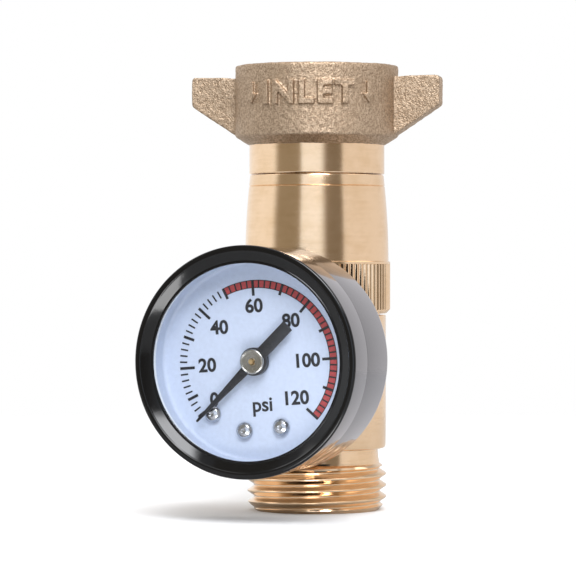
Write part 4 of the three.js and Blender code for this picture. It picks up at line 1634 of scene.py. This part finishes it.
@dataclass
class Studio:
    """Camera, floor and soft surroundings. Azimuths count from the camera's, to its right."""

    azimuth: float = 19.3
    distance: float = 620.0
    eye_z: float = 47.0
    aim_left: float = 5.6
    aim_z: float = 43.0
    lens: float = 199.6
    card_reach: float = 88.0
    card_left: float = 12.0
    card_size: Point = (30.0, 34.0)
    card_height: float = 0.6
    card_glow: float = 9.0
    floor_reach: float = 900.0
    floor_fade: Point = (160.0, 420.0)
    floor_bounce: Colour = (0.5, 0.5, 0.5)
    floor_gap: float = 0.02
    base: Colour = (0.5, 0.5, 0.5)
    panels: tuple[Panel, ...] = (
        Panel(-180, 180, -24, 26, (0.84, 0.83, 0.83), (0.0, 0.0), 20.0),
        Panel(-180, -73, -24, 26, (0.98, 1.0, 1.02), (0.0, 14.0), 20.0),
        Panel(-73, -27, -66, 66, (0.31, 0.28, 0.22), (14.0, 4.0)),
        Panel(-27, 11, -22, 24, (1.02, 1.12, 1.25), (4.0, 18.0), 16.0),
        Panel(11, 43, -66, 66, (0.21, 0.185, 0.15), (14.0, 5.0)),
        Panel(-12, 22, 26, 58, (14.0, 14.2, 14.6), (8.0, 8.0), 8.0),
        Panel(-10, 24, -62, -28, (7.0, 7.0, 7.2), (8.0, 8.0), 8.0),
        Panel(60, 118, 30, 52, (2.0, 2.0, 2.0), (8.0, 8.0), 6.0),
        Panel(-130, -84, 30, 52, (2.2, 2.2, 2.2), (8.0, 8.0), 6.0),
        Panel(-180, 180, 66, 92, (1.6, 1.6, 1.6), (0.0, 0.0), 6.0),
    )

    def camera(self) -> None:
        """Sets the camera at the product's three-quarter view."""
        a = math.radians(self.azimuth)
        right = Vector((math.cos(a), math.sin(a), 0))
        place = Vector((math.sin(a), -math.cos(a), 0)) * self.distance + Vector((0, 0, self.eye_z))
        aim = -right * self.aim_left + Vector((0, 0, self.aim_z))
        place = place - right * self.aim_left
        data = bpy.data.cameras.new("camera")
        data.lens = self.lens
        data.sensor_width = 36.0
        data.clip_start = 0.01
        data.clip_end = 10.0
        made = bpy.data.objects.new("camera", data)
        made.location = place * MM
        made.rotation_mode = "QUATERNION"
        made.rotation_quaternion = ((aim - place) * MM).to_track_quat("-Z", "Y")
        bpy.context.scene.collection.objects.link(made)
        bpy.context.scene.camera = made

    def floor(self) -> None:
        """A round floor whose rim fades into the surroundings: pale to the camera, greyer in reflections."""
        rings = np.linspace(0, self.floor_reach, 12)
        shape = Shape().turn([(r, 0.0) for r in rings], 96, closed=False)
        mesh = bpy.data.meshes.new("floor")
        mesh.from_pydata(np.concatenate(shape.points) * MM, [], shape.faces)
        made = bpy.data.objects.new("floor", mesh)
        bpy.context.scene.collection.objects.link(made)
        material = bpy.data.materials.new("floor_paint")
        material.use_nodes = True
        graph = Graph(material.node_tree)
        place = graph.place()
        away = graph.vector("LENGTH", place)
        fade = away.step(*self.floor_fade)
        seen = graph.node("ShaderNodeLightPath", output="Is Camera Ray")
        tone = graph.mix(graph.noise(place, 0.01) * 0.2, (0.93, 0.93, 0.935), (0.9, 0.9, 0.905))
        tone = graph.mix(seen, self.floor_bounce, tone)
        matt = {"Base Color": tone, "Roughness": 0.9, "IOR": 1.1}
        paint = graph.node("ShaderNodeBsdfPrincipled", None, matt)
        gone = graph.node("ShaderNodeBsdfTransparent")
        graph.surface(graph.node("ShaderNodeMixShader", None, {0: fade, 1: paint, 2: gone}))
        mesh.materials.append(material)
        made.location.z = CAD_BOX[0].z - self.floor_gap * MM

    def card(self) -> None:
        """A small glowing card low in front of the gauge, out of the camera's sight."""
        a = math.radians(self.azimuth)
        right = Vector((math.cos(a), math.sin(a)))
        near = Vector((math.sin(a), -math.cos(a)))
        centre = near * self.card_reach - right * self.card_left
        corners = [centre + right * u * self.card_size[0] / 2 + near * v * self.card_size[1] / 2
                   for u, v in ((-1, -1), (1, -1), (1, 1), (-1, 1))]
        mesh = bpy.data.meshes.new("card")
        mesh.from_pydata([(c.x * MM, c.y * MM, self.card_height * MM) for c in corners], [], [(0, 1, 2, 3)])
        made = bpy.data.objects.new("card", mesh)
        bpy.context.scene.collection.objects.link(made)
        made.visible_camera = False
        material = bpy.data.materials.new("card_glow")
        material.use_nodes = True
        graph = Graph(material.node_tree)
        cloud = graph.mix(graph.noise(graph.place(), 0.05) * 0.3, (1.0, 1.0, 1.0), (0.9, 0.92, 0.95))
        Finish.principled(graph, Emission_Color=cloud, Emission_Strength=self.card_glow)
        mesh.materials.append(material)

    def surroundings(self) -> None:
        """A pale room with soft panels; the camera itself sees only the pale backdrop."""
        world = bpy.data.worlds.new("studio")
        bpy.context.scene.world = world
        world.use_nodes = True
        graph = Graph(world.node_tree)
        way = graph.node("ShaderNodeTexCoord", output="Generated")
        x, y, z = (graph.axis(way, k) for k in range(3))
        turn = -math.radians(self.azimuth)
        across = x * math.cos(turn) - y * math.sin(turn)
        back = x * math.sin(turn) + y * math.cos(turn)
        azimuth = across.math("ARCTAN2", back * -1.0) * math.degrees(1)
        elevation = z.math("ARCSINE") * math.degrees(1)
        tone: object = self.base
        for panel in self.panels:
            inside = elevation.step(panel.low - panel.rise / 2, panel.low + panel.rise / 2)
            inside = inside * elevation.step(panel.high + panel.rise / 2, panel.high - panel.rise / 2)
            for edge, fade, way_in in ((panel.start, panel.fade[0], 1), (panel.end, panel.fade[1], -1)):
                if fade:
                    inside = inside * azimuth.step(edge - way_in * fade / 2, edge + way_in * fade / 2)
            tone = graph.mix(inside, tone, panel.colour)
        seen = graph.node("ShaderNodeLightPath", output="Is Camera Ray")
        shown = graph.mix(seen, tone, (1.0, 1.0, 1.0))
        graph.surface(graph.node("ShaderNodeBackground", None, {"Color": shown}))

    def build(self) -> None:
        """Sets the stage."""
        bpy.context.scene.view_settings.view_transform = "Standard"
        self.camera()
        self.floor()
        self.card()
        self.surroundings()


def main() -> None:
    """Builds every sub-assembly in order."""
    logging.basicConfig(level=logging.INFO, format="%(name)s %(message)s")
    Studio().build()
    OutletBody().build()
    KnurledShell().build()
    SwivelNut().build()
    InletFittings().build()
    RangeSpring().build()
    GaugeHousing().build()
    Dial().build()
    Needle().build()
    dress_carried_nodes()


if __name__ == "__main__":
    main()
